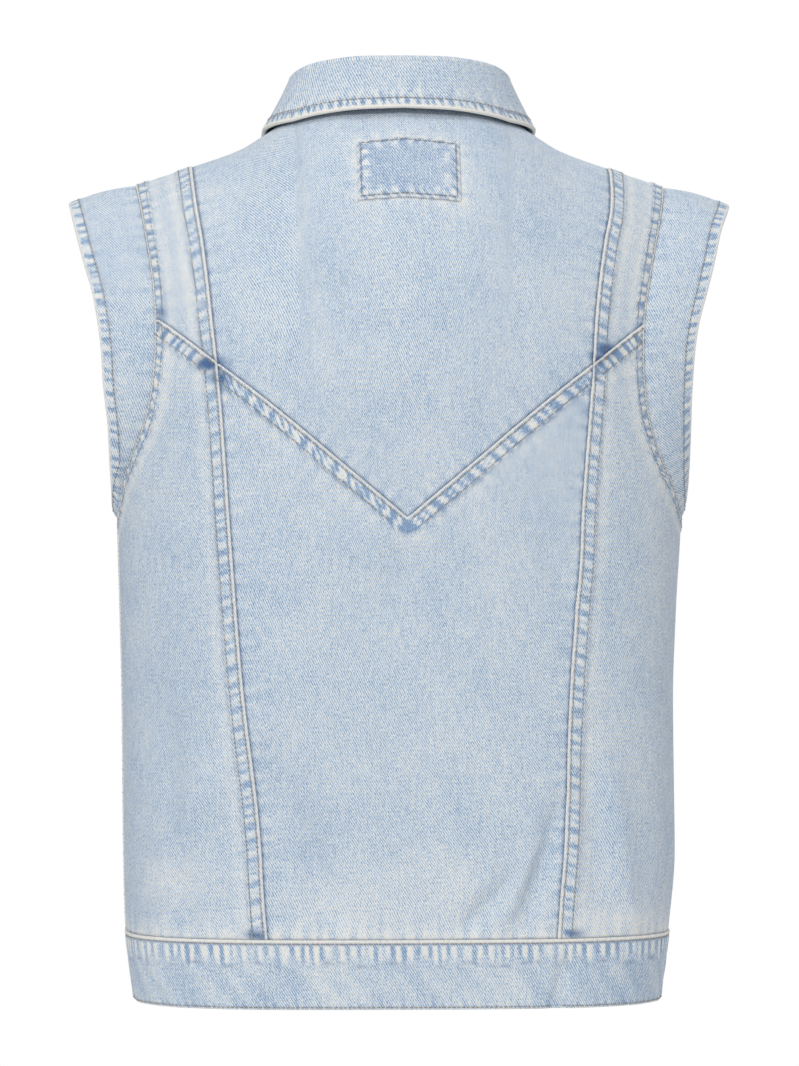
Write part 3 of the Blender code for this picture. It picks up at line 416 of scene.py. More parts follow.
def section(run, side=1.0):
    """Half width, squareness and depth of the body section at a run."""
    level = level_of(run)
    left = smooth(level, BODY["level"], BODY["half_width"])
    right = smooth(level, BODY["level"], BODY["half_width_right"])
    width = np.where(np.asarray(side) < 0.0, right, left)
    square = smooth(level, BODY["level"], BODY["squareness"])
    back = smooth(level, BODY["level"], BODY["depth_back"])
    front = smooth(level, BODY["level"], BODY["depth_front"])
    return width, square, np.where(np.asarray(run) >= 0.0, back, front)


def bare(angle, run):
    """Superellipse section |x/a|^n + |y/b|^n = 1 in polar form, closed over the shoulders by
    y = y0 sin(t) and z = ridge - (depth + ridge)(1 - cos(t)), where t is the run's quarter turn."""
    width, square, depth = section(run, angle)
    across = np.abs(np.sin(angle)) / width
    along = np.abs(np.cos(angle)) / depth
    radius = (across**square + along**square) ** (-1.0 / square)
    x = radius * np.sin(angle)
    y = radius * np.cos(angle)
    ridge = smooth(np.abs(x), SHOULDER["across"], SHOULDER["height"])
    turn = np.clip(np.abs(run) / CAP_RUN, 0.0, 1.0) * math.pi / 2
    cap = ridge - (CAP_DEPTH + ridge) * (1.0 - np.cos(turn))
    z = np.where(np.abs(run) < CAP_RUN, cap, level_of(run))
    return np.stack([x, np.where(np.asarray(run) >= 0.0, 1.0, -1.0) * y * np.sin(turn), z], axis=-1)


def points_of(places):
    """Points of surface places with columns angle and run."""
    return bare(places[..., 0], places[..., 1])


def frame_at(angle, run):
    """Directions round the body and down it, and the unit direction out of it."""
    step = 1e-4
    round_body = (bare(angle + step, run) - bare(angle - step, run)) / (2 * step)
    down_body = (bare(angle, run + step) - bare(angle, run - step)) / (2 * step)
    return round_body, down_body, unit(np.cross(round_body, down_body))


def fold_rise(points, run):
    """Soft folds: for each table row, rise * sin(taper) * exp(-(distance / half width)^2)."""
    rise = np.zeros(points.shape[:-1])
    rows = list(zip(*FOLDS.values())) + list(zip(*CREASES.values()))
    for face, x0, z0, x1, z1, half, height in rows:
        start = np.array([x0, z0])
        reach = np.array([x1 - x0, z1 - z0])
        place = points[..., (0, 2)] - start
        share = place @ reach / (reach @ reach)
        near = np.clip(share, 0.0, 1.0)
        off = np.linalg.norm(place - near[..., None] * reach, axis=-1)
        taper = np.sin(np.clip(0.15 + 0.7 * near, 0.0, 1.0) * math.pi)
        side = np.where(np.sign(run) == face, 1.0, 0.0)
        rise = rise + side * height * taper * np.exp(-((off / half) ** 2))
    return rise


def surface(angle, run, lift=0.0):
    """Body surface with its folds, moved out by a lift, and its outward direction."""
    points = bare(angle, run)
    away = frame_at(angle, run)[2]
    lift = np.broadcast_to(lift, points.shape[:-1])
    return points + away * (fold_rise(points, run) + lift)[..., None], away


def run_at(x, z, face):
    """Run of the surface at a half width and height."""
    ridge = smooth(np.abs(x), SHOULDER["across"], SHOULDER["height"])
    turn = np.arccos(np.clip(1.0 - (ridge - z) / (CAP_DEPTH + ridge), -1.0, 1.0))
    cap = CAP_RUN * turn / (math.pi / 2)
    return face * np.where(z > -CAP_DEPTH, cap, CAP_RUN - CAP_DEPTH - z)


def angle_at(x, run):
    """Angle round the body at a half width and run."""
    width, square, depth = section(run, x)
    share = np.clip(np.abs(x) / width, 0.0, 1.0)
    y = depth * (1.0 - share**square) ** (1.0 / square)
    return np.sign(x) * np.arctan2(np.abs(x), y)


def line(x, run):
    """Surface curve as columns angle and run."""
    x, run = np.broadcast_arrays(np.asarray(x, float), np.asarray(run, float))
    return np.stack([angle_at(x, run), run], axis=-1)


def way_of(points):
    """Distance along a row of points."""
    return np.concatenate([[0.0], np.cumsum(np.linalg.norm(np.diff(points, axis=0), axis=1))])


def ways_of(grid, axis):
    """Distance along each row or column of a grid of points."""
    steps = np.cumsum(np.linalg.norm(np.diff(grid, axis=axis), axis=2), axis=axis)
    return np.concatenate([np.zeros_like(np.take(steps, [0], axis)), steps], axis=axis)


def lengths(curve):
    """Distance along a surface curve."""
    return way_of(points_of(curve))


def pick(points, way, at):
    """Points at distances along their way."""
    return np.stack([np.interp(at, way, points[:, k]) for k in range(points.shape[1])], -1)


def sample(curve, shares):
    """Curve points at shares of its length."""
    way = lengths(curve)
    return pick(curve, way, np.asarray(shares, float) * way[-1])


def join(*curves):
    """Curves end to end with shared points once."""
    return np.concatenate([curves[0]] + [curve[1:] for curve in curves[1:]])


# Seam curves


def princess(side):
    """Princess seam from the shoulder seam over the ridge to the hem seam."""
    key = "left" if side > 0 else "right"
    top = smooth(-0.033, PRINCESS["height"], PRINCESS[key])
    over = line(side * top, np.linspace(SHOULDER_SEAM, 0.010, 8))
    z = np.linspace(-0.036, HEM_SEAM, 240)
    x = smooth(z, PRINCESS["height"], PRINCESS[key])
    return join(over, line(side * x, run_at(x, z, 1)))


def v_height(x):
    """Height of the V yoke seam."""
    return smooth(np.abs(x), V_SEAM["across"], V_SEAM["height"])


def crossing(curve):
    """Index of the curve point where it meets the V yoke seam."""
    points = points_of(curve)
    return int(np.argmax(points[:, 2] < v_height(points[:, 0])))


def v_curve(start, end):
    """V yoke seam between two surface places."""
    x = np.linspace(bare(*start)[0], bare(*end)[0], 121)
    curve = line(x, run_at(x, v_height(x), 1))
    curve[0] = start
    curve[-1] = end
    return curve


def armhole(side, face):
    """Armhole seam from the shoulder seam to the underarm."""
    key = "front"
    if face > 0:
        key = "back_left" if side > 0 else "back_right"
    z = np.linspace(ARMHOLE["height"][0], UNDERARM, 160)
    x = smooth(z, ARMHOLE["height"], ARMHOLE[key])
    down = line(side * x, run_at(x, z, face))
    down[-1, 0] = side * math.pi / 2
    top = ARMHOLE["back_left"][0]
    if face > 0:
        return join(line(side * top, np.linspace(SHOULDER_SEAM, 0.004, 6)), down)
    begin = line(side * np.array([top]), np.array([SHOULDER_SEAM]))
    return np.concatenate([begin, down[down[:, 1] < SHOULDER_SEAM - 0.004]])


def side_seam(side, face):
    """Side seam from the underarm to the hem seam."""
    run = face * (CAP_RUN - CAP_DEPTH - np.linspace(UNDERARM, HEM_SEAM, 60))
    return np.stack([np.full(60, side * math.pi / 2), run], axis=-1)


def hem_curve(x0, x1, face):
    """Hem seam between two half widths, or to a side seam at x1 = +-1."""
    run = face * HEM_RUN
    a0 = angle_at(np.array(x0), run)
    a1 = np.sign(x1) * math.pi / 2 if abs(x1) >= 1.0 else angle_at(np.array(x1), run)
    return np.stack([np.linspace(a0, a1, 200), np.full(200, run)], axis=-1)


def neck_back(side):
    """Back neck seam from centre back to the shoulder seam."""
    turn = np.linspace(0.0, math.pi / 2, 60)
    curve = line(side * NECK_HALF * np.sin(turn), NECK_BACK * np.cos(turn))
    return join(curve, line(side * NECK_HALF, np.linspace(0.0, SHOULDER_SEAM, 6)))


def neck_front(side):
    """Front neck seam from the shoulder seam to the placket."""
    turn = np.linspace(0.0, math.acos(PLACKET_HALF / NECK_HALF), 60)
    run = SHOULDER_SEAM + (NECK_FRONT - SHOULDER_SEAM) * np.sin(turn)
    return line(side * NECK_HALF * np.cos(turn), run)


# Seam relief


def ripple(along, seed, waves=(0.0055, 0.0075, 0.0110)):
    """Uneven wave from minus one to one: a mean of sines with set phases, steepened by tanh."""
    rng = np.random.default_rng(seed)
    value = np.zeros(np.shape(along))
    for wave in waves:
        value = value + np.sin(2 * math.pi * (along / wave + rng.random()))
    return np.tanh(1.7 * value / math.sqrt(len(waves)))


def seam(curve, kind, seed, strip=0.0, rows=(), worn="plain"):
    """Seam on a panel: its curve, kind, seed of its ripples, strip width, stitch rows and wear row."""
    at = WORN["seam"].index(worn)
    points = points_of(curve)
    return {"points": points, "way": way_of(points), "kind": kind, "strip": strip, "rows": rows,
            "seed": seed, "gain": WORN["gain"][at], "deep": WORN["deep"][at], "halo": WORN["halo"][at]}


def nearest(points, row):
    """Distance to a seam and place along it for each point, by its nearest segment."""
    flat = points.reshape(-1, 3)
    knots = row["points"]
    best = np.empty(len(flat), int)
    for start in range(0, len(flat), 4000):
        part = flat[start:start + 4000]
        gap = (part**2).sum(1)[:, None] - 2 * part @ knots.T + (knots**2).sum(1)[None]
        best[start:start + 4000] = gap.argmin(1)
    off = np.full(len(flat), 1e9)
    along = np.zeros(len(flat))
    for shift in (-1, 0):
        a = np.clip(best + shift, 0, len(knots) - 2)
        reach = knots[a + 1] - knots[a]
        long = np.maximum((reach**2).sum(1), 1e-16)
        t = np.clip(((flat - knots[a]) * reach).sum(1) / long, 0.0, 1.0)
        gap = np.linalg.norm(flat - knots[a] - t[:, None] * reach, axis=1)
        closer = gap < off
        off = np.where(closer, gap, off)
        along = np.where(closer, row["way"][a] + t * np.sqrt(long), along)
    return off.reshape(points.shape[:-1]), along.reshape(points.shape[:-1])


def seam_relief(off, along, kind, strip, rows, seed, waves=(0.0058, 0.0074, 0.0097, 0.0131)):
    """Plateau, rise, wear, worn edge and blue line of a seam at a distance off and a place along it. The blue
    line is painted shade beside the seam and in its stitch grooves.

    A lap is a plateau of smooth steps with a rolled edge, a groove at each row of stitches and
    slanted ripples between the rows; beside it the cloth puckers and settles as exp(-off / width)."""
    size = bpy.context.scene.vest_sizes
    zero = np.zeros_like(off)
    rope = ripple(along - 0.25 * off, seed, waves)
    pull = ripple(along, seed + 5, (0.0082, 0.0109, 0.0148))
    speck = ripple(along, seed + 9, (0.0031, 0.0043, 0.0071))
    if kind == "lap":
        plateau = size.lap_rise * (1 - ramp(off, strip, strip + 0.0013)) * ramp(off, -0.0003, 0.0006)
        roll = 0.00032 * bell(off, 0.0009, 0.0007)
        between = ramp(off, 0.0008, 0.0025) * (1 - ramp(off, strip - 0.0016, strip + 0.0004))
        outside = ramp(off, strip - 0.001, strip + 0.002) * np.exp(-np.maximum(off - strip, 0) / 0.007)
        rise = roll + size.rope * rope * between + size.pucker * pull * outside
        wear = (1.05 * rope + 0.30 * speck - 0.04) * between + 0.20 * pull * outside
        edge = bell(off, 0.0006, 0.0009) * (0.88 + 0.12 * speck)
        # Painted shade: a blue line just past the lap's strip, where the lapped edge shades the cloth
        blue = bell(off, strip + 0.0002, 0.0005) * (0.20 + 0.2 * speck)
        for place in rows:
            rise = rise - 0.00030 * bell(off, place, 0.0006)
            # Painted shade: blue in the groove of each stitch row
            blue = np.maximum(blue, bell(off, place, 0.0005) * (0.42 + 0.25 * rope + 0.15 * speck))
        return {"plateau": plateau, "rise": rise, "wear": wear, "edge": edge, "blue": blue}
    if kind == "halo":
        settle = np.exp(-off / 0.006)
        wear = 0.75 * np.exp(-off / 0.0028) * (0.8 + 0.2 * pull) + 0.2 * pull * settle
        rise = -0.00020 * bell(off, 0.0, 0.0020) + size.pucker * pull * settle
        return {"plateau": zero, "rise": rise, "wear": wear, "edge": zero, "blue": zero}
    outside = np.exp(-off / 0.007)
    rise = -0.00015 * bell(off, 0.0, 0.0015) + size.pucker * 1.1 * pull * outside
    wear = 0.30 * pull * outside
    # Painted shade: blue on the cloth beside the seam, where the lapped piece shades it
    blue = bell(off, 0.0003, 0.0011) * (0.62 + 0.2 * speck)
    if kind == "hem":
        wear = wear + (0.48 + 0.42 * ramp(pull, -0.6, 0.8)) * np.exp(-off / 0.0055)
        blue = 0.4 * blue
    return {"plateau": zero, "rise": rise, "wear": wear, "edge": zero, "blue": blue}


def relief(points, seams):
    """Rise and cloth masks of a panel from all its seams: highest lap plus every ripple."""
    shape = points.shape[:-1]
    plateau = np.zeros(shape)
    rise = np.zeros(shape)
    wear = np.zeros(shape)
    edge = np.zeros(shape)
    blue = np.zeros(shape)
    for row in seams:
        off, along = nearest(points, row)
        here = seam_relief(off, along, row["kind"], row["strip"], row["rows"], row["seed"])
        plateau = np.maximum(plateau, here["plateau"])
        rise = rise + here["rise"]
        on_strip = 1 - ramp(off, row["strip"] - 0.001, row["strip"] + 0.001)
        halo = bell(off, row["strip"] + HALO_OFF, HALO_HALF)
        wear = wear + here["wear"] * row["gain"] - row["deep"] * on_strip + row["halo"] * halo
        edge = np.maximum(edge, here["edge"])
        # Blue mask: painted shade of the seam lines and stitch grooves
        blue = np.maximum(blue, here["blue"])
    # Spots: blue kept where thick seams cross, painted shade in the broad dark rows, paler cloth where dark
    # is below nought
    for face, x, z, wide, tall, dark in zip(*STAINS_AND_SHADE.values()):
        place = ((points[..., 0] - x) / wide) ** 2 + ((points[..., 2] - z) / tall) ** 2
        spot = dark * np.exp(-place) * (np.sign(points[..., 1]) == face)
        blue = np.maximum(blue, spot)
        wear = wear - spot
    masks = {"wear": np.clip(wear, -1, 1), "edge": np.clip(edge, 0, 1), "blue": np.clip(blue, 0, 1)}
    return plateau + rise, masks


# Mesh helpers


def patch_grid(left, right, top, bottom, shares):
    """Coons patch in angle and run: sides + ends - corners, with the given shares in each row."""
    rows = len(left)
    down_left = lengths(left) / lengths(left)[-1]
    down_right = lengths(right) / lengths(right)[-1]
    v = (1.0 - shares) * down_left[:, None] + shares * down_right[:, None]
    upper = sample(top, shares.ravel()).reshape(rows, -1, 2)
    lower = sample(bottom, shares.ravel()).reshape(rows, -1, 2)
    u = shares[..., None]
    v = v[..., None]
    sides = (1 - u) * left[:, None] + u * right[:, None]
    ends = (1 - v) * upper + v * lower
    corners = (1 - u) * (1 - v) * left[0] + u * (1 - v) * right[0]
    corners = corners + (1 - u) * v * left[-1] + u * v * right[-1]
    return sides + ends - corners


def row_width(left, right):
    """Width of each row between its end points."""
    share = np.linspace(0.0, 1.0, 25)[None, :, None]
    between = left[:, None] * (1 - share) + right[:, None] * share
    points = points_of(between)
    return np.linalg.norm(np.diff(points, axis=1), axis=2).sum(axis=1)


def columns(width, near, count, far):
    """Column shares with fixed strips at the two sides of each row."""
    first = np.concatenate([[0.0], near])[None, :] / width[:, None]
    last = 1.0 - np.concatenate([far, [0.0]])[None, :] / width[:, None]
    middle = np.linspace(0.0, 1.0, count + 1)[None, 1:-1]
    start = first[:, -1:]
    end = last[:, :1]
    return np.concatenate([first, start + (end - start) * middle, last], axis=1)


def rows_down(total, near, size):
    """Shares down a side: fixed strips at the top and even rows below."""
    near = np.asarray(near)
    near = near[near < 0.6 * total]
    start = near[-1] if len(near) else 0.0
    count = max(2, int(round((total - start) / size)))
    return np.concatenate([[0.0], near / total, np.linspace(start / total, 1.0, count + 1)[1:]])


def shift_edge(points, away, amount):
    """Grid with its border pulled in by an amount within the surface."""
    moved = points.copy()
    for index, inner in ((0, 1), (-1, -2)):
        for axis in (0, 1):
            edge = points[index] if axis == 0 else points[:, index]
            inside = points[inner] if axis == 0 else points[:, inner]
            out = away[index] if axis == 0 else away[:, index]
            inward = unit(np.cross(np.gradient(edge, axis=0), out))
            flip = np.sign(np.sum(inward * (inside - edge), axis=-1, keepdims=True))
            if axis == 0:
                moved[index] += inward * flip * amount
            else:
                moved[:, index] += inward * flip * amount
    return moved


def quads(index):
    """Faces between the neighbours of a grid of point numbers."""
    corners = (index[:-1, :-1], index[:-1, 1:], index[1:, 1:], index[1:, :-1])
    return np.stack([corner.ravel() for corner in corners], 1)


def turned_out(points, faces):
    """Faces in the order that gives their closed mesh a sum of p . (q x r) above nought."""
    p, q, r = (points[faces[:, k]] for k in range(3))
    if np.einsum("ij,ij->i", p, np.cross(q, r)).sum() < 0.0:
        return faces[:, ::-1]
    return faces


def shell(name, outer, inner, grain, masks, material, wrap=False):
    """Closed cloth between an outer and an inner grid, with its grain and masks on every point."""
    rows, cols = outer.shape[:2]
    count = rows * cols
    index = np.arange(count).reshape(rows, cols)
    if wrap:
        index = np.concatenate([index, index[:, :1]], axis=1)
    faces = [quads(index)[:, (0, 3, 2, 1)], quads(index) + count]
    borders = [index[0], index[-1][::-1]]
    if not wrap:
        borders += [index[::-1, 0], index[:, -1]]
    for border in borders:
        p = border[:-1]
        q = border[1:]
        faces.append(np.stack([p, q, q + count, p + count], 1))
    points = np.concatenate([outer.reshape(-1, 3), inner.reshape(-1, 3)])
    faces = turned_out(points, np.concatenate(faces))
    grain = np.tile(grain.reshape(-1, 2), (2, 1))
    masks = {key: np.tile(value.ravel(), 2) for key, value in masks.items()}
    return mesh_object(name, points, faces, material, grain, masks)


def mesh_object(name, points, faces, material, grain=None, masks=None):
    """Mesh object from whole arrays, riding the vest."""
    faces = np.asarray(faces, np.int32)
    mesh = bpy.data.meshes.new(name)
    mesh.vertices.add(len(points))
    mesh.vertices.foreach_set("co", np.asarray(points, np.float32).ravel())
    mesh.loops.add(faces.size)
    mesh.loops.foreach_set("vertex_index", faces.ravel())
    mesh.polygons.add(len(faces))
    mesh.polygons.foreach_set("loop_start", np.arange(0, faces.size, faces.shape[1], dtype=np.int32))
    mesh.update(calc_edges=True)
    mesh.validate()
    mesh.polygons.foreach_set("use_smooth", np.ones(len(mesh.polygons), bool))
    if grain is not None:
        layer = mesh.uv_layers.new(name="grain")
        corner = np.empty(len(mesh.loops), np.int32)
        mesh.loops.foreach_get("vertex_index", corner)
        layer.data.foreach_set("uv", grain[corner].astype(np.float32).ravel())
    for key, value in (masks or {}).items():
        layer = mesh.attributes.new(key, "FLOAT", "POINT")
        layer.data.foreach_set("value", value.astype(np.float32))
    mesh.materials.append(material)
    item = bpy.data.objects.new(name, mesh)
    bpy.context.scene.collection.objects.link(item)
    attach(item, "root")
    return item


# Stitches


def stitch_template():
    """Capsule of unit length: four rings of five points at shares of the radius, and two end points."""
    spots = np.array([-0.42, -0.22, 0.22, 0.42])
    share = np.array([0.72, 1.0, 1.0, 0.72])
    lift = np.array([-0.10, 0.16, 0.16, -0.10])
    turn = np.linspace(0.0, 2 * math.pi, 5, endpoint=False)
    ring = np.stack([np.zeros(5), np.cos(turn), np.sin(turn)], -1)
    points = [np.array([[-0.5, 0.0, -0.75]])]
    for spot, size, rise in zip(spots, share, lift):
        points.append(ring * size + np.array([spot, 0.0, rise]))
    points.append(np.array([[0.5, 0.0, -0.75]]))
    points = np.concatenate(points)
    step = np.arange(5)
    nxt = (step + 1) % 5
    faces = [np.stack([np.zeros(5, int), 1 + nxt, 1 + step], 1)]
    for k in range(3):
        low = 1 + 5 * k
        faces.append(np.stack([low + step, low + nxt, low + 5 + nxt], 1))
        faces.append(np.stack([low + step, low + 5 + nxt, low + 5 + step], 1))
    faces.append(np.stack([16 + step, 16 + nxt, np.full(5, 21)], 1))
    return points, np.concatenate(faces)


def place_stitches(name, centre, head, out, long):
    """One capsule at each centre: centre + head x + across y + out z of the template."""
    size = bpy.context.scene.vest_sizes
    template, faces = stitch_template()
    head = unit(head)
    out = unit(out - head * np.sum(out * head, -1, keepdims=True))
    across = np.cross(out, head)
    points = centre[:, None] + head[:, None] * template[None, :, :1] * long[:, None, None]
    points = points + across[:, None] * template[None, :, 1:2] * size.thread
    points = points + out[:, None] * template[None, :, 2:3] * size.thread * 0.85
    index = faces[None] + (np.arange(len(centre)) * len(template))[:, None, None]
    grain = np.broadcast_to(template[None, :, :2], (len(centre), len(template), 2)).copy()
    grain[..., 0] = grain[..., 0] * long[:, None]
    grain[..., 1] = grain[..., 1] * size.thread + np.arange(len(centre))[:, None] * 0.01
    item = mesh_object(name, points.reshape(-1, 3), index.reshape(-1, 3), thread_material(),
                       grain.reshape(-1, 2))


def stitch_rows(name, rows):
    """Stitches along rows given as (points, outward directions): one for each pitch."""
    size = bpy.context.scene.vest_sizes
    centres = []
    heads = []
    outs = []
    for points, away in rows:
        way = way_of(points)
        count = int(way[-1] / size.pitch)
        if count < 1:
            continue
        start = (way[-1] - count * size.pitch) / 2
        at = start + (np.arange(count) + 0.5) * size.pitch
        centres.append(pick(points, way, at))
        heads.append(pick(points, way, at + size.stitch / 2) - pick(points, way, at - size.stitch / 2))
        outs.append(pick(away, way, at))
    centre = np.concatenate(centres)
    head = unit(np.concatenate(heads))
    out = np.concatenate(outs)
    rng = np.random.default_rng(size.seed + len(centre))
    head = head + np.cross(out, head) * rng.normal(0.0, 0.05, len(centre))[:, None]
    long = size.stitch * (1 + rng.normal(0.0, 0.04, len(centre)))
    place_stitches(name, centre, head, out, long)


def offset_row(curve, side_run, off, seams, lo=0.0, hi=1.0):
    """Row of stitches at a distance off a seam curve, towards side_run, on the raised cloth.

    The step in angle and run solves [S_angle S_run] step = off * inward in the least squares sense."""
    count = max(8, int(lengths(curve)[-1] / 0.0016))
    spots = sample(curve, np.linspace(lo, hi, count))
    angle = spots[:, 0]
    run = spots[:, 1]
    ahead, down, away = frame_at(angle, run)
    tangent = unit(np.gradient(bare(angle, run), axis=0))
    inward = unit(np.cross(tangent, away))
    probe = ahead * side_run[0] + down * side_run[1]
    inward = inward * np.sign(np.sum(inward * probe, axis=-1, keepdims=True))
    for _ in range(2):
        e = np.sum(ahead * ahead, -1)
        f = np.sum(ahead * down, -1)
        g = np.sum(down * down, -1)
        p = np.sum(inward * ahead, -1) * off
        q = np.sum(inward * down, -1) * off
        det = e * g - f * f
        new_angle = spots[:, 0] + (g * p - f * q) / det
        new_run = spots[:, 1] + (e * q - f * p) / det
        ahead, down, _ = frame_at((spots[:, 0] + new_angle) / 2, (spots[:, 1] + new_run) / 2)
    base, away = surface(new_angle, new_run)
    rise = relief(bare(new_angle, new_run), seams)[0]
    return base + away * (rise + 0.00010)[:, None], away


# Materials


def add(tree, kind, inputs=None, **settings):
    """Node of a kind in a tree, with its settings and its inputs by name or place."""
    node = tree.nodes.new(kind)
    for key, value in settings.items():
        setattr(node, key, value)
    for key, value in (inputs or {}).items():
        if isinstance(value, bpy.types.NodeSocket):
            tree.links.new(value, node.inputs[key])
        else:
            node.inputs[key].default_value = value
    return node


def calc(tree, operation, a, b=0.0, c=0.0):
    """Value of one math node on up to three numbers."""
    return add(tree, "ShaderNodeMath", {0: a, 1: b, 2: c}, operation=operation).outputs[0]


def blend_colour(tree, share, a, b):
    """Colour between a and b."""
    return add(tree, "ShaderNodeMix", {0: share, 6: a, 7: b}, data_type="RGBA").outputs[2]


def new_material(name):
    """Material with an empty tree, its shader and its output."""
    item = bpy.data.materials.new(name)
    item.use_nodes = True
    tree = item.node_tree
    tree.nodes.clear()
    shader = add(tree, "ShaderNodeBsdfPrincipled")
    out = add(tree, "ShaderNodeOutputMaterial")
    tree.links.new(shader.outputs[0], out.inputs[0])
    return item, tree, shader


def grain_noise(tree, uv, across, down, detail=2.0):
    """Noise with features of a size across and down the cloth, in metres."""
    scaled = add(tree, "ShaderNodeVectorMath", {0: uv, 1: (1 / across, 1 / down, 1.0)}, operation="MULTIPLY")
    node = add(tree, "ShaderNodeTexNoise", {"Vector": scaled.outputs[0], "Scale": 1.0, "Detail": detail,
                                            "Roughness": 0.55}, noise_dimensions="2D")
    return node.outputs[0]


def rgba(colour):
    """Colour with full opacity."""
    return (*tuple(colour), 1.0)


def denim_material(name, mid, dark=0.0):
    """Washed twill: a slanted wave of warp over weft, slubs down the warp and clouds of the wash."""
    found = bpy.data.materials.get(name)
    if found:
        return found
    colours = bpy.context.scene.vest_colours
    size = bpy.context.scene.vest_sizes
    item, tree, shader = new_material(name)
    uv = add(tree, "ShaderNodeUVMap", uv_map="grain").outputs[0]
    parts = add(tree, "ShaderNodeSeparateXYZ", {0: uv})
    noises = [grain_noise(tree, uv, *reach) for reach in zip(NOISES["across"], NOISES["down"])]
    fine = noises[NOISES["name"].index("fine")]
    slub = noises[NOISES["name"].index("slub")]
    slant = calc(tree, "MULTIPLY_ADD", parts.outputs[1], TWILL_SLANT, parts.outputs[0])
    turns = calc(tree, "DIVIDE", slant, size.twill)
    turns = calc(tree, "MULTIPLY_ADD", fine, 0.32, turns)
    wave = calc(tree, "SINE", calc(tree, "MULTIPLY", turns, 2 * math.pi))
    wave = calc(tree, "MULTIPLY_ADD", wave, 0.5, 0.5)
    wear = add(tree, "ShaderNodeAttribute", attribute_name="wear").outputs["Fac"]
    edge = add(tree, "ShaderNodeAttribute", attribute_name="edge").outputs["Fac"]
    blue = add(tree, "ShaderNodeAttribute", attribute_name="blue").outputs["Fac"]
    tone = calc(tree, "MULTIPLY_ADD", wave, TWILL_SHARE, 0.53 - dark - TWILL_SHARE / 2)
    for part, share in zip(noises, NOISES["share"]):
        tone = calc(tree, "MULTIPLY_ADD", calc(tree, "SUBTRACT", part, 0.5), share, tone)
    tone = calc(tree, "MULTIPLY_ADD", wear, WEAR_SHARE, tone)
    stops = add(tree, "ShaderNodeValToRGB", {0: tone})
    bands = stops.color_ramp
    bands.elements[0].position = STOPS[0]
    bands.elements[0].color = rgba(colours.deep)
    bands.elements[1].position = STOPS[-1]
    bands.elements[1].color = rgba(colours.worn)
    for place, colour in zip(STOPS[1:-1], (colours.blue, mid, colours.pale)):
        bands.elements.new(place).color = rgba(colour)
    uneven = calc(tree, "MULTIPLY_ADD", fine, 1.6, 0.2)
    ragged = add(tree, "ShaderNodeClamp", {0: calc(tree, "MULTIPLY", edge, uneven)}).outputs[0]
    # Painted shade: the blue mask darkens the cloth toward the seam line colour beside seams and in stitch
    # grooves, and marks blue kept at seam crossings
    blue_and_shade_share = add(tree, "ShaderNodeClamp", {0: calc(tree, "MULTIPLY", blue, uneven)}).outputs[0]
    colour = blend_colour(tree, blue_and_shade_share, stops.outputs[0], rgba(colours.shade))
    colour = blend_colour(tree, ragged, colour, rgba(colours.worn))
    tree.links.new(colour, shader.inputs["Base Color"])
    high = calc(tree, "MULTIPLY", wave, 0.00008)
    high = calc(tree, "MULTIPLY_ADD", fine, 0.00022, high)
    high = calc(tree, "MULTIPLY_ADD", slub, 0.00018, high)
    bump = add(tree, "ShaderNodeBump", {"Strength": 0.75, "Distance": 1.0, "Height": high})
    tree.links.new(bump.outputs[0], shader.inputs["Normal"])
    shader.inputs["Roughness"].default_value = 0.9
    shader.inputs["Specular IOR Level"].default_value = 0.25
    return item


def cloth():
    """Denim of the vest."""
    return denim_material("light wash denim", bpy.context.scene.vest_colours.mid)


def patch_cloth():
    """Darker denim of the neck patch."""
    return denim_material("patch denim", bpy.context.scene.vest_colours.patch, 0.13)


def thread_material():
    """Polyester thread with the twist of its plies."""
    found = bpy.data.materials.get("sewing thread")
    if found:
        return found
    item, tree, shader = new_material("sewing thread")
    uv = add(tree, "ShaderNodeUVMap", uv_map="grain").outputs[0]
    parts = add(tree, "ShaderNodeSeparateXYZ", {0: uv})
    slant = calc(tree, "ADD", calc(tree, "MULTIPLY", parts.outputs[0], 1 / 0.0006),
                 calc(tree, "MULTIPLY", parts.outputs[1], 1 / 0.0009))
    twist = calc(tree, "SINE", calc(tree, "MULTIPLY", slant, 2 * math.pi))
    base = bpy.context.scene.vest_colours.thread
    tone = calc(tree, "MULTIPLY_ADD", twist, 0.10, 0.5)
    low = tuple(0.62 * part for part in base)
    high = tuple(min(1.0, 1.3 * part) for part in base)
    colour = blend_colour(tree, tone, rgba(low), rgba(high))
    tree.links.new(colour, shader.inputs["Base Color"])
    shader.inputs["Roughness"].default_value = 0.6
    return item


def metal_material():
    """Aged metal, duller where the wash left spots."""
    found = bpy.data.materials.get("aged brass")
    if found:
        return found
    item, tree, shader = new_material("aged brass")
    place = add(tree, "ShaderNodeTexCoord").outputs["Object"]
    spots = add(tree, "ShaderNodeTexNoise", {"Vector": place, "Scale": 1 / 0.0012, "Detail": 3.0})
    base = bpy.context.scene.vest_colours.metal
    dull = tuple(0.45 * part for part in base)
    colour = blend_colour(tree, spots.outputs[0], rgba(base), rgba(dull))
    tree.links.new(colour, shader.inputs["Base Color"])
    rough = calc(tree, "MULTIPLY_ADD", spots.outputs[0], 0.3, 0.25)
    tree.links.new(rough, shader.inputs["Roughness"])
    shader.inputs["Metallic"].default_value = 1.0
    return item


# Body panels


def declare(node, grid_points):
    """Hides the imported part that a cloth piece stands for; the flat cut of its grid is worked out but not
    kept.
    """
    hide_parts(node)
    wide, long, area = flat_cut(grid_points)


def flat_cut(points):
    """Width, length and area of a grid laid flat between its seam lines: its longest row and column,
    and the sum of its cells' cross products."""
    wide = ways_of(points, 1)[:, -1].max()
    long = ways_of(points, 0)[-1].max()
    a = points[1:, :-1] - points[:-1, :-1]
    b = points[:-1, 1:] - points[:-1, :-1]
    area = min(np.linalg.norm(np.cross(a, b), axis=2).sum(), wide * long)
    return wide, long, area


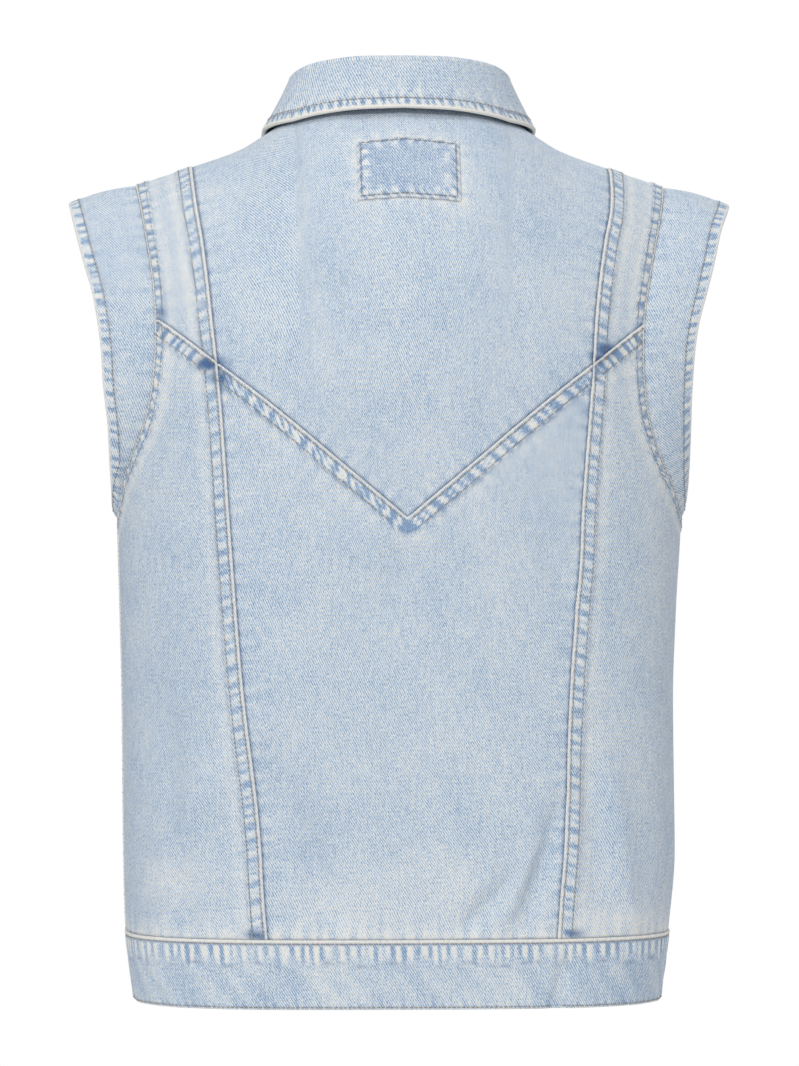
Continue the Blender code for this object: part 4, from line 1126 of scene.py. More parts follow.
def body_panel(name, grid, seams, hand):
    """Cloth panel on the body surface: outer = base + rise, inner = base - cloth. Its grain counts
    from the first column times the hand, or from the middle where the hand is nought."""
    size = bpy.context.scene.vest_sizes
    angle = grid[..., 0]
    run = grid[..., 1]
    base, away = surface(angle, run)
    rise, masks = relief(points_of(grid), seams)
    across = ways_of(base, 1)
    across = across * hand if hand else across - across[:, -1:] * 0.5
    grain = np.stack([across, -np.abs(run)], -1)
    base = shift_edge(base, away, size.seam_line / 2)
    item = shell(name + "_cloth", base + away * rise[..., None], base - away * size.cloth, grain, masks,
                 cloth())
    declare(name, base)


def straight(a, b, count=40):
    """Surface curve straight in angle and run."""
    return np.stack([np.linspace(a[k], b[k], count) for k in range(2)], -1)


def back_seams(side):
    """Seam curves of one half of the back, cut where they cross."""
    line_down = princess(side)
    cut = crossing(line_down)
    arm = armhole(side, 1)
    arm_cut = crossing(arm)
    return {"upper": line_down[:cut + 1], "lower": line_down[cut:], "arm_up": arm[:arm_cut + 1],
            "arm_low": arm[arm_cut:], "corner": line_down[cut],
            "v_out": v_curve(line_down[cut], arm[arm_cut])}


def label_of(side):
    """Name of a side."""
    return "left" if side > 0 else "right"


def make_back():
    """Yokes and lower panels of the back with their stitches."""
    size = bpy.context.scene.vest_sizes
    rows = (size.first_row, size.second_row)
    lap = size.lap_width
    halves = {side: back_seams(side) for side in (1, -1)}
    tip = line(np.array([0.0]), np.array([run_at(0.0, v_height(0.0), 1)]))[0]
    v_half = {side: v_curve(halves[side]["corner"], tip) for side in (1, -1)}
    v_line = join(v_half[1], v_half[-1][::-1])
    stitches = []
    for side in (1, -1):
        half = halves[side]
        seams = [seam(half["upper"], "lap", 11 + side, lap, rows, "yoke_princess"),
                 seam(half["arm_up"], "lap", 21 + side, size.arm_lap, ARM_ROWS, "yoke_arm"),
                 seam(half["v_out"], "under", 31 + side)]
        left = sample(half["upper"], even(80))
        right = sample(half["arm_up"], even(80))
        width = row_width(left, right)
        shares = columns(width, FINE, 8, FINE[9::-1])
        grid = patch_grid(left, right, straight(left[0], right[0]), half["v_out"], shares)
        body_panel("yoke_side_" + label_of(side), grid, seams, -side)
        for off in rows:
            stitches.append(offset_row(half["upper"], (side, 0.0), off, seams, 0.002, 0.985))
        for off in ARM_ROWS:
            stitches.append(offset_row(half["arm_up"], (-side, 0.0), off, seams, 0.002, 0.99))
        seams = [seam(half["lower"], "lap", 12 + side, lap, rows, "low_princess"),
                 seam(half["arm_low"], "lap", 22 + side, size.arm_lap, ARM_ROWS, "low_arm"),
                 seam(half["v_out"], "lap", 32 + side, lap, rows, "v_yoke")]
        low = lengths(half["lower"])[-1]
        under = (v_height(0.126) - UNDERARM + 0.008) / low
        top_rows = rows_down(under * low, FINE * 1.25, 0.0018) * under
        hem_rows = np.linspace(under, 1.0, 156)[1:]
        left = sample(half["lower"], np.concatenate([top_rows, hem_rows]))
        drop = lengths(half["arm_low"])[-1]
        arm_shares = np.interp(top_rows, [0.0, top_rows[len(FINE)], under], [0.0, FINE[-1] / drop, 1.0])
        right = join(sample(half["arm_low"], arm_shares), sample(side_seam(side, 1), even(155)))
        shares = columns(row_width(left, right), FINE, 34, FINE[9::-1])
        start = bare(*left[-1])[0]
        grid = patch_grid(left, right, half["v_out"], hem_curve(start, side, 1), shares)
        hem = seam(grid[-1], "hem", 42 + side)
        body_panel("back_side_" + label_of(side), grid, seams + [hem], -side)
        for off in rows:
            stitches.append(offset_row(half["lower"], (side, 0.0), off, seams, 0.004, 0.998))
            stitches.append(offset_row(half["v_out"], (0.0, 1.0), off, seams, 0.01, 0.97))
        for off in ARM_ROWS:
            stitches.append(offset_row(half["arm_low"], (-side, 0.0), off, seams, 0.03, 0.995))
    make_yoke(halves, v_line)
    stitches += make_lower(halves, v_line, rows, lap)
    stitch_rows("back_stitches", stitches)


def make_yoke(halves, v_line):
    """Centre yoke from the neck and shoulders to the V seam."""
    left = sample(halves[1]["upper"], even(130))
    right = sample(halves[-1]["upper"], even(130))
    tops = {}
    for side, rows in ((1, left), (-1, right)):
        tops[side] = straight(rows[0], neck_back(side)[-1])
    top = join(tops[1], neck_back(1)[::-1], neck_back(-1), tops[-1][::-1])
    neck_share = lengths(tops[1])[-1] / lengths(top)[-1]
    upper = np.concatenate([np.linspace(0.0, neck_share, 31), np.linspace(neck_share, 1 - neck_share, 71)[1:],
                            np.linspace(1 - neck_share, 1.0, 31)[1:]])
    down = np.linspace(0.0, 1.0, len(left))[:, None]
    shares = (1 - down) * upper[None] + down * even(130)[None]
    grid = patch_grid(left, right, top, v_line, shares)
    seams = [seam(halves[1]["upper"], "under", 51),
             seam(halves[-1]["upper"], "under", 52),
             seam(v_line, "under", 53),
             seam(patch_outline(), "halo", 54)]
    body_panel("yoke_back", grid, seams, 0)


def patch_outline():
    """Outline of the neck patch on the yoke."""
    low, high = PATCH_CENTRE - PATCH_HALF, PATCH_CENTRE + PATCH_HALF
    start = run_at(0.0, PATCH_TOP, 1)
    stop = run_at(0.0, PATCH_BOTTOM, 1)
    down = np.linspace(start, stop, 30)
    over = np.linspace(low, high, 40)
    return join(line(low, down), line(over, stop), line(high, down[::-1]), line(over[::-1], start))


def make_lower(halves, v_line, rows, lap):
    """Centre lower panel from the V seam to the hem band, and its V stitches."""
    low = lengths(halves[1]["lower"])[-1]
    down = rows_down(low, FINE * 1.28, 0.0020)
    left = sample(halves[1]["lower"], down)
    right = sample(halves[-1]["lower"], down)
    shares = columns(row_width(left, right), SOFT, 92, SOFT[::-1])
    start = bare(*left[-1])[0]
    stop = bare(*right[-1])[0]
    grid = patch_grid(left, right, v_line, hem_curve(start, stop, 1), shares)
    top = seam(v_line, "lap", 61, lap, rows, "v_yoke")
    seams = [top, seam(halves[1]["lower"], "under", 62),
             seam(halves[-1]["lower"], "under", 63),
             seam(grid[-1], "hem", 64)]
    body_panel("back_lower", grid, seams, 0)
    stitches = []
    for half in (v_line[:len(v_line) // 2 + 1], v_line[len(v_line) // 2:][::-1]):
        long = lengths(half)[-1]
        for off in rows:
            stitches.append(offset_row(half, (0.0, 1.0), off, [top], 0.01, 1.0 - 0.8 * off / long))
    return stitches


def make_front():
    """Fronts and plackets with their stitches."""
    size = bpy.context.scene.vest_sizes
    stitches = []
    for side in (1, -1):
        neck = neck_front(side)
        chest = line(side * PLACKET_HALF, np.linspace(neck[-1, 1], -(CAP_RUN - CAP_DEPTH - FRONT_LEVEL), 90))
        lower = line(side * PLACKET_HALF, np.linspace(chest[-1, 1], -HEM_RUN, 90))
        left = join(sample(neck, even(56)), sample(chest, even(72)), sample(lower, even(120)))
        arm = armhole(side, -1)
        right = join(sample(arm, even(128)), sample(side_seam(side, -1), even(120)))
        shares = columns(row_width(left, right), SOFT, 58, FINE[9::-1])
        top = straight(left[0], right[0])
        grid = patch_grid(left, right, top, hem_curve(side * PLACKET_HALF, side, -1), shares)
        edge = line(side * PLACKET_HALF, np.linspace(neck[-1, 1], -HEM_RUN, 200))
        seams = [seam(arm, "lap", 71 + side, size.arm_lap, ARM_ROWS, "front_arm"),
                 seam(edge, "under", 73 + side),
                 seam(side_seam(side, -1), "lap", 75 + side, SIDE_LAP, SIDE_ROWS, "side"),
                 seam(grid[-1], "hem", 77 + side),
                 seam(top, "lap", 79 + side, SIDE_LAP, SIDE_ROWS)]
        body_panel("front_" + label_of(side), grid, seams, side)
        for off in ARM_ROWS:
            stitches.append(offset_row(arm, (-side, 0.0), off, seams, 0.02, 0.99))
        for off in SIDE_ROWS:
            stitches.append(offset_row(side_seam(side, -1), (-side, 0.0), off, seams, 0.01, 0.998))
            stitches.append(offset_row(top, (0.0, -1.0), off, seams, 0.01, 0.93))
    make_placket("placket_left", -PLACKET_HALF, PLACKET_UNDER, -size.cloth - size.seam_gap, 91)
    stitches += make_placket("placket_right", -PLACKET_HALF, PLACKET_HALF, PLACKET_RISE, 92)
    stitch_rows("front_stitches", stitches)


def make_placket(name, from_x, to_x, lift, seed):
    """Double strip down the centre front, and its rows of stitches."""
    size = bpy.context.scene.vest_sizes
    wide = to_x - from_x
    shares = np.concatenate([[0.0], FINE[:8], np.linspace(FINE[7], wide - FINE[7], 9)[1:-1],
                             wide - FINE[7::-1], [wide]])
    x = from_x + shares
    run = np.linspace(neck_front(1)[-1, 1], -HEM_RUN, 250)
    grid = line(x[None, :], run[:, None])
    base, away = surface(grid[..., 0], grid[..., 1])
    edges = [line(from_x, run), line(to_x, run)]
    seams = [seam(edge, "lap", seed + k, PLACKET_LAP, (PLACKET_ROW,)) for k, edge in enumerate(edges)]
    rise, masks = relief(points_of(grid), seams)
    rise = rise - size.lap_rise
    grain = np.stack([np.broadcast_to(shares[None], grid.shape[:2]), -np.abs(grid[..., 1])], -1)
    base = shift_edge(base, away, size.seam_line / 2)
    outer = base + away * (np.minimum(rise, PLACKET_HIGHEST) + lift)[..., None]
    item = shell(name + "_cloth", outer, base + away * (lift - PLACKET_WALL), grain, masks, cloth())
    declare(name, base)
    rows = []
    for start, turn in ((from_x, 1), (to_x, -1)):
        place = line(start + turn * PLACKET_ROW, run[3:-2])
        spot, out = surface(place[:, 0], place[:, 1])
        rows.append((spot + out * (lift + STITCH_LIFT), out))
    return rows


# Cap sleeves


def sleeve_edge(side, shares, face):
    """Sleeve opening: a half ellipse in height and depth with its width from a table."""
    high = SLEEVE_EDGE["height"][0]
    low = SLEEVE_EDGE["height"][-1]
    turn = np.linspace(0.0, math.pi, 400)
    z = (high + low) / 2 + (high - low) / 2 * np.cos(turn)
    reach = SLEEVE_BACK if face > 0 else SLEEVE_FRONT
    x = smooth(z, SLEEVE_EDGE["height"], SLEEVE_EDGE["left" if side > 0 else "right"])
    points = np.stack([side * x, face * reach * np.sin(turn), z], -1)
    way = way_of(points)
    return pick(points, way, np.asarray(shares) * way[-1])


def make_sleeve(side):
    """Cap sleeve: a strip ruled from the armhole seam to its opening, bowed out a little."""
    size = bpy.context.scene.vest_sizes
    back = sample(armhole(side, 1), even(150))
    front = sample(armhole(side, -1), even(150))
    seam_back = points_of(back)
    seam_front = points_of(front)
    away = np.concatenate([frame_at(back[:, 0], back[:, 1])[2],
                           frame_at(front[:, 0], front[:, 1])[2][::-1][1:-1]])
    inner_edge = np.concatenate([seam_back, seam_front[::-1][1:-1]])
    edges = [sleeve_edge(side, way_of(rows) / way_of(rows)[-1], face)
             for rows, face in ((seam_back, 1), (seam_front, -1))]
    outer_edge = np.concatenate([edges[0], edges[1][::-1][1:-1]])
    reach = outer_edge - inner_edge
    wide = np.linalg.norm(reach, axis=-1)
    near = np.concatenate([[0.0], SOFT])[:, None] / wide[None]
    hem = np.concatenate([FINE[:9], [0.0110]])[::-1]
    far = 1.0 - np.minimum(np.concatenate([hem, [0.0]])[:, None] / wide[None], 0.9)
    low = near[-1:]
    high = np.maximum(far[:1], low + 0.02)
    middle = low + (high - low) * np.linspace(0, 1, 13)[1:-1, None]
    share = np.maximum.accumulate(np.concatenate([near, middle, far]), axis=0)[..., None]
    grid = inner_edge[None] + share * reach[None]
    around = np.roll(grid, -1, axis=1) - np.roll(grid, 1, axis=1)
    out = unit(np.cross(around, np.broadcast_to(reach[None], grid.shape)))
    out = out * np.sign(np.sum(out[0] * away, axis=-1).mean())
    grid = grid + out * 0.05 * wide[None, :, None] * np.sin(share * math.pi)
    grid[0] += unit(reach) * size.seam_gap / 2
    along = np.broadcast_to(way_of(inner_edge)[None], grid.shape[:2])
    off_seam = share[..., 0] * wide
    off_hem = (1 - share[..., 0]) * wide
    at_seam = seam_relief(off_seam, along, "under", 0.0, (), 101 + side)
    at_hem = seam_relief(off_hem, along, "lap", SLEEVE_LAP, (SLEEVE_ROW,), 103 + side)
    rise = at_hem["plateau"] * 0.8 + at_seam["rise"] + at_hem["rise"] * 0.75
    # The blue mask carries the painted shade of the seam and hem lines
    masks = {"wear": np.clip(at_seam["wear"] + 0.75 * at_hem["wear"], -1, 1), "edge": at_hem["edge"],
             "blue": np.maximum(at_seam["blue"] * 0.3, at_hem["blue"] * 0.6)}
    grain = np.stack([-side * off_seam, -np.abs(along)], -1)
    item = shell("sleeve_" + label_of(side) + "_cloth", grid + out * rise[..., None], grid - out * size.cloth,
                 grain, masks, cloth(), wrap=True)
    declare("sleeve_" + label_of(side), grid)
    at = int(np.argmin(np.abs(np.median(off_hem, axis=1) - SLEEVE_ROW)))
    row = grid[at] + out[at] * (rise[at] + 0.0002)[:, None]
    return np.concatenate([row, row[:1]]), np.concatenate([out[at], out[at][:1]])


def make_sleeves():
    """Both cap sleeves with their stitches."""
    stitch_rows("sleeve_stitches", [make_sleeve(side) for side in (1, -1)])


# Collar


def collar_row(share, name):
    """Roll line or fall edge of the collar from its table."""
    return np.stack([smooth(share, COLLAR["along"], COLLAR[name + axis]) for axis in ("_x", "_y", "_z")], -1)


def run_under(x, y):
    """Run of the body surface above or below a place in plan: y = depth * sin(quarter turn)."""
    face = np.where(y >= 0.0, 1.0, -1.0)
    run = face * 0.1
    for _ in range(6):
        width, square, depth = section(run, x)
        reach = depth * (1.0 - np.clip(np.abs(x) / width, 0.0, 0.999)**square)**(1.0 / square)
        run = face * CAP_RUN * np.arcsin(np.clip(np.abs(y) / reach, 0.001, 1.0)) / (math.pi / 2)
    return run


def rest_on_body(points):
    """Points kept at least the collar's rest height off the body surface."""
    moved = points.copy()
    for _ in range(3):
        run = run_under(moved[:, 0], moved[:, 1])
        angle = angle_at(moved[:, 0], run)
        away = frame_at(angle, run)[2]
        height = np.sum((moved - bare(angle, run)) * away, axis=-1)
        moved = moved + away * np.maximum(COLLAR_REST - height, 0.0)[:, None]
    return moved


def make_collar():
    """Stand and fall as one turned-over cloth: a Catmull-Rom section swept round the neck seam."""
    size = bpy.context.scene.vest_sizes
    share = even(150)
    halves = []
    for side in (-1, 1):
        front = neck_front(side)
        neck = join(neck_back(side), front[front[:, 1] > NECK_FRONT * 0.975])
        base = sample(neck, share)
        seat = surface(base[:, 0], base[:, 1])
        roll = collar_row(share, "roll")
        edge = collar_row(share, "edge")
        roll[:, 0] *= side
        edge[:, 0] *= side
        halves.append((seat[0], seat[1], roll, edge))
    right, left = halves
    foot, away, roll, edge = [np.concatenate([right[k][::-1], left[k][1:]]) for k in range(4)]
    edge = rest_on_body(edge)
    into = unit(np.cross(unit(np.gradient(foot, axis=0)), away))
    plan = edge * np.array([1.0, 1.0, 0.0])
    into = into * np.sign(np.sum(into * plan, axis=-1, keepdims=True))
    up = unit(roll - foot)
    side = unit(edge - foot - up * np.sum((edge - foot) * up, axis=-1, keepdims=True))
    hub = roll - up * COLLAR_TURN
    lower = hub - side * COLLAR_TURN
    stops = [foot, foot + (lower - foot) * 0.12, foot + (lower - foot) * 0.60]
    for angle in (180, 135, 90, 45, 0):
        turn = math.radians(angle)
        stops.append(hub + side * COLLAR_TURN * math.cos(turn) + up * COLLAR_TURN * math.sin(turn))
    last = stops[-1]
    bow = unit(np.cross(unit(np.gradient(roll, axis=0)), edge - last))
    bow = bow * np.sign(np.sum(bow * side, axis=-1, keepdims=True))
    both = np.concatenate([share[::-1], share[1:]])
    push = smooth(both, COLLAR["along"], COLLAR["bow"])[:, None]
    for part in (0.30, 0.65):
        stops.append(last + (edge - last) * part + bow * push)
    stops.append(edge)
    places = np.concatenate([np.linspace(0, 2, 10), np.linspace(2, 7, 21)[1:], np.linspace(7, 9, 16)[1:],
                             9 + (1 - np.concatenate([[0.0108], FINE[9::-1], [0.0]]) / 0.0135)[1:]])
    middle = spline(np.stack(stops), places)
    tangent = np.gradient(middle, axis=0)
    run = unit(np.gradient(middle, axis=1))
    across = unit(np.cross(run, tangent))
    top = int(np.argmin(np.abs(places - 5)))
    across = across * np.sign(np.sum(across[top] * up, axis=-1, keepdims=True))
    way = ways_of(middle, 0)
    off = way[-1:] - way
    along = np.broadcast_to(way_of(roll)[None], off.shape)
    along_edge = np.broadcast_to(way_of(edge)[None], off.shape)
    end = np.minimum(along_edge, along_edge[:, -1:] - along_edge)
    fall = seam_relief(off, along_edge, "lap", COLLAR_LAP, (COLLAR_ROW,), 121, (0.0050, 0.0060, 0.0078))
    ends = seam_relief(end + 0.02 * (places[:, None] < 6), way, "lap", COLLAR_LAP, (COLLAR_ROW,), 122)
    near_rim = np.clip(off / COLLAR_HALF_WALL, 0, 1)
    half = COLLAR_HALF_WALL * np.sqrt(np.clip(1 - (1 - near_rim) ** 2, 0.05, 1.0))
    rise = fall["plateau"] * 0.35 + fall["rise"] + ends["rise"] * 0.8
    on_roll = bell(way, way[top][None], 0.004)
    wear = fall["wear"] + ends["wear"] * 0.8 + 0.25 * on_roll * (0.5 + 0.5 * ripple(along, 124))
    marks = ramp(ripple(along_edge, 126, (0.0078, 0.0100, 0.0150)), -0.2, 0.8)
    wear = wear + 0.42 * marks * bell(off, 0.0105, 0.0034)
    rim = 1.5 * bell(off, 0.0006, 0.0018)
    # The blue mask carries the painted shade of the fall's seam line and stitch groove
    masks = {"wear": np.clip(wear * 1.15, -1, 1),
             "edge": np.maximum(np.maximum(fall["edge"], ends["edge"]), rim),
             "blue": np.maximum(fall["blue"], ends["blue"]) * (1 - np.minimum(rim, 1.0))}
    outer = middle + across * (half + rise)[..., None]
    inner = middle - across * half[..., None]
    outer[0] = foot - into * COLLAR_HALF_WALL + away * size.seam_gap
    inner[0] = foot + into * COLLAR_HALF_WALL + away * size.seam_gap
    grain = np.stack([-along * np.ones_like(off), -way], -1)
    item = shell("collar_cloth", outer, inner, grain, masks, cloth())
    declare("collar", middle)
    at = int(np.argmin(np.abs(off[:, off.shape[1] // 2] - COLLAR_ROW)))
    cuts = [(at, slice(6, -6)), (slice(top + 3, at + 1), 7), (slice(top + 3, at + 1), -8)]
    rows = [(outer[cut] + across[cut] * 0.0001, across[cut]) for cut in cuts]
    stitch_rows("collar_stitches", rows)


# Hem band


def bare_round(walk, run):
    """Body surface at an angle counted all round the body: 0 back, +-pi front."""
    fold = (walk + math.pi) % (2 * math.pi) - math.pi
    behind = np.abs(fold) <= math.pi / 2
    angle = np.where(behind, fold, np.sign(fold) * math.pi - fold)
    back = bare(angle, np.full(angle.shape, run))
    front = bare(angle, np.full(angle.shape, -run))
    return np.where(behind[..., None], back, front)


def make_band():
    """Double band: the body surface below the hem seam, its right end lapping over its left end."""
    size = bpy.context.scene.vest_sizes
    run = HEM_RUN
    start = float(angle_at(np.array(PLACKET_HALF), -run))
    walk = math.pi + start - np.linspace(0.0, 2 * math.pi + 2 * start, 2400)
    way = way_of(bare_round(walk, run))
    at = np.linspace(0.0, way[-1], BAND_CELLS + 1)
    walk = np.interp(at, way, walk)
    sink = smooth(way[-1] - at, (0.0, 2 * PLACKET_HALF + 0.004, 2 * PLACKET_HALF + BAND_EASE, way[-1]),
                  (1.0, 1.0, 0.0, 0.0)) * (BAND_WALL + size.seam_gap)
    drops = np.concatenate([[0.00015], FINE[:9] + 0.0001, np.linspace(0.0105, 0.0370, 12),
                            BAND_DEPTH - BAND_FOOT])
    bases = []
    outs = []
    for drop in drops:
        bases.append(bare_round(walk, run + drop))
        ahead = bare_round(walk + 1e-4, run + drop) - bare_round(walk - 1e-4, run + drop)
        down = bare_round(walk, run + drop + 1e-4) - bare_round(walk, run + drop - 1e-4)
        outs.append(unit(np.cross(ahead, down)))
    base = np.stack(bases)
    away = np.stack(outs)
    off = np.broadcast_to(drops[:, None], base.shape[:2])
    along = np.broadcast_to(at[None], base.shape[:2])
    stripe = ripple(along - 0.06 * off, 131, (0.0061, 0.0077, 0.0093))
    low = BAND_DEPTH - off
    foot = ripple(along + 0.3 * low, 132, (0.0052, 0.0071))
    speck = ripple(along, 133, (0.0035, 0.0051))
    long = 0.0150 + 0.0030 * ripple(along, 138, (0.013, 0.021))
    reach = ramp(off, 0.0030, 0.0046) * (1 - ramp(off, long * 0.6, long * 1.15))
    near_foot = 1 - ramp(low, 0.0030, 0.0075)
    rise = 0.00040 * bell(off, 0.0011, 0.0008) - 0.00030 * bell(off, BAND_ROW, 0.0007)
    rise = rise + size.rope * stripe * reach + 0.0002 * foot * near_foot
    rise = rise - 0.00025 * bell(low, BAND_FOOT_ROW, 0.0006)
    rise = rise - 0.0006 * bell(low, 0.0, 0.0007) - 0.0003 * bell(off, 0.0, 0.0005)
    dent = BAND_DENT * bell(base[..., 0] - BAND_DENT_X, (off - 0.02) * 0.2, 0.0060)
    dent = dent * ramp(off, 0.006, 0.022)
    rise = rise - dent * (base[..., 1] > 0)
    patchy = ripple(along + 0.4 * off, 136, (0.061, 0.083, 0.119)) * ramp(off, 0.010, 0.018)
    wear = stripe * reach * (0.90 + 0.3 * ripple(along, 137, (0.045, 0.067))) + 0.25 * foot * near_foot
    cross = ripple(along - 0.8 * off, 139, (0.019, 0.027, 0.041)) * ramp(off, 0.016, 0.022)
    rise = rise + 0.00035 * cross
    # Painted shade: the back of the band past x -0.104 is darker where the band turns in
    tucked_shade = ramp(-base[..., 0], 0.1040, 0.1110) * (base[..., 1] > 0)
    wear = np.clip(wear + 0.01 + 0.20 * reach + 0.10 * patchy + 0.12 * cross - 0.16 * tucked_shade, -1, 1)
    edge = np.maximum(1.3 * bell(off, 0.0010, 0.0012) * (0.85 + 0.15 * speck),
                      bell(low, 0.0, 0.0009) * (0.5 + 0.3 * speck))
    wander = BAND_ALLOWANCE + 0.0012 * ripple(along, 134, (0.031, 0.047)) + 0.0005 * speck
    # Painted shade in the two stitch grooves, and a blue line where the seam allowance inside ends
    blue = np.maximum(bell(off, BAND_ROW, 0.0006) * (0.75 + 0.20 * stripe),
                      (0.22 + 0.20 * ripple(along, 135, (0.011, 0.023))) * bell(off, wander, 0.0008))
    blue = np.maximum(blue, bell(low, BAND_FOOT_ROW, 0.0006) * 0.35)
    outer = base + away * (BAND_RISE + rise - sink[None])[..., None]
    inner = base + away * (BAND_RISE - BAND_WALL - sink[None])[..., None]
    grain = np.stack([along, -off], -1)
    item = shell("hem_band_cloth", outer, inner, grain, {"wear": wear, "edge": edge, "blue": blue},
                 cloth())
    declare("hem_band", base)
    rows = []
    for place in (BAND_ROW, BAND_DEPTH - BAND_FOOT_ROW):
        k = int(np.argmin(np.abs(drops - place)))
        rows.append((outer[k, 3:-3] + away[k, 3:-3] * 0.0001, away[k, 3:-3]))
    stitch_rows("band_stitches", rows)


# Neck patch


def make_patch():
    """Plain patch on the yoke: the yoke's surface moved out, with worn turned edges."""
    size = bpy.context.scene.vest_sizes
    wide = 2 * PATCH_HALF
    start = float(run_at(0.0, PATCH_TOP, 1))
    stop = float(run_at(0.0, PATCH_BOTTOM, 1))
    tall = float(lengths(line(0.0, np.linspace(start, stop, 40)))[-1])
    near = PATCH_EDGE
    x = np.concatenate([near, np.linspace(near[-1], wide - near[-1], 42)[1:-1], wide - near[::-1]])
    y = np.concatenate([near, np.linspace(near[-1], tall - near[-1], 30)[1:-1], tall - near[::-1]])
    grid = line(PATCH_CENTRE + PATCH_HALF - x[None], (start + (stop - start) * y / tall)[:, None])
    base, away = surface(grid[..., 0], grid[..., 1])
    x, y = np.broadcast_arrays(x[None], y[:, None])
    off_x = np.minimum(x, wide - x)
    off_y = np.minimum(y, tall - y)
    off = np.minimum(off_x, off_y)
    along = np.where(off_x < off_y, y, x)
    rope = ripple(along + off, 141, (0.0055, 0.0075, 0.0121))
    rise = 0.00022 * bell(off, 0.0011, 0.0008) - 0.00028 * bell(off, PATCH_ROW, 0.0007)
    rise = rise + 0.00014 * rope * (1 - ramp(off, 0.004, 0.009)) - 0.0004 * bell(off, 0.0, 0.0005)
    pale = 1.2 * bell(x, 0.0056, 0.0022) * ramp(ripple(y, 142, (0.0088, 0.0101)), -0.1, 0.3)
    pale = pale + 0.60 * bell(x, wide - 0.009, 0.0022) * ramp(ripple(y, 143, (0.019,)), -0.9, 0.5)
    pale = pale + 0.75 * bell(off_y, 0.0056, 0.0028) * ramp(ripple(x, 145, (0.0095, 0.0131)), 0.1, 0.8)
    wear = np.clip(0.55 * rope * (1 - ramp(off, 0.0035, 0.0080)) + pale, -1, 1)
    edge = bell(off, 0.0004, 0.0008) * (0.55 + 0.35 * ripple(along, 144))
    # Painted shade: blue in the groove of the patch's stitch row
    blue = bell(off, PATCH_ROW, 0.0006) * 0.30
    grain = np.stack([x, -y], -1)
    lift = size.seam_gap * 1.3
    outer = base + away * (lift + PATCH_WALL + rise)[..., None]
    item = shell("neck_patch_cloth", outer, base + away * lift, grain,
                 {"wear": wear, "edge": np.clip(edge, 0, 1), "blue": blue}, patch_cloth())
    declare("neck_patch", base)
    rows = []
    out = base + away * (lift + PATCH_WALL + STITCH_LIFT)
    for cut in ((4, slice(4, -4)), (-5, slice(4, -4)), (slice(4, -4), 4), (slice(4, -4), -5)):
        rows.append((out[cut], away[cut]))
    stitch_rows("patch_stitches", rows)


# Buttons and buttonholes


def make_buttons():
    """Metal buttons: a turned profile with a rim, a dish and a centre boss, and their buttonholes."""
    size = bpy.context.scene.vest_sizes
    radius = np.array(BUTTON["radius"]) * (size.button_radius / max(BUTTON["radius"]))
    rise = np.array(BUTTON["rise"])
    turn = np.linspace(0.0, 2 * math.pi, BUTTON_STEPS + 1)[:-1]
    centres, heads, outs, longs = [], [], [], []
    for number, height in enumerate(BUTTON_HEIGHTS, 1):
        run = run_at(np.array(0.0), np.array(height), -1)
        lift = PLACKET_RISE if height > HEM_SEAM else BAND_RISE
        foot, away = surface(np.array(0.0), run, lift + size.seam_gap + 0.0002)
        right = np.array([1.0, 0.0, 0.0])
        up = unit(np.cross(right, away))
        ring = np.cos(turn)[:, None] * right + np.sin(turn)[:, None] * up
        points = foot + ring[None] * radius[:, None, None] + away * rise[:, None, None]
        points = points.reshape(-1, 3)
        index = np.arange(len(points)).reshape(-1, BUTTON_STEPS)
        index = np.concatenate([index, index[:, :1]], axis=1)
        faces = turned_out(points - foot, quads(index))
        item = mesh_object("button_" + str(number) + "_metal", points, faces, metal_material())
        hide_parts("button_" + str(number))
        path = np.linspace(0.0, 1.0, 80)
        reach = BUTTONHOLE_HALF
        loop_x = np.where(path < 0.5, reach - 4 * reach * path, -reach + 4 * reach * (path - 0.5))
        loop_x = np.clip(loop_x * 1.06, -reach, reach)
        loop_y = np.where(path < 0.5, 1.0, -1.0) * BUTTONHOLE_WALL
        loop_y = loop_y * np.sqrt(np.clip(1 - (loop_x / reach) ** 8, 0, 1))
        spot = foot + right * loop_x[:, None] + up * loop_y[:, None] - away * (size.seam_gap + 0.0001)
        centres.append(spot)
        heads.append(np.broadcast_to(up, spot.shape))
        outs.append(np.broadcast_to(away, spot.shape))
        longs.append(np.full(len(spot), BUTTONHOLE_STITCH))
    place_stitches("buttonhole_stitches", np.concatenate(centres), np.concatenate(heads),
                   np.concatenate(outs), np.concatenate(longs))


# Studio


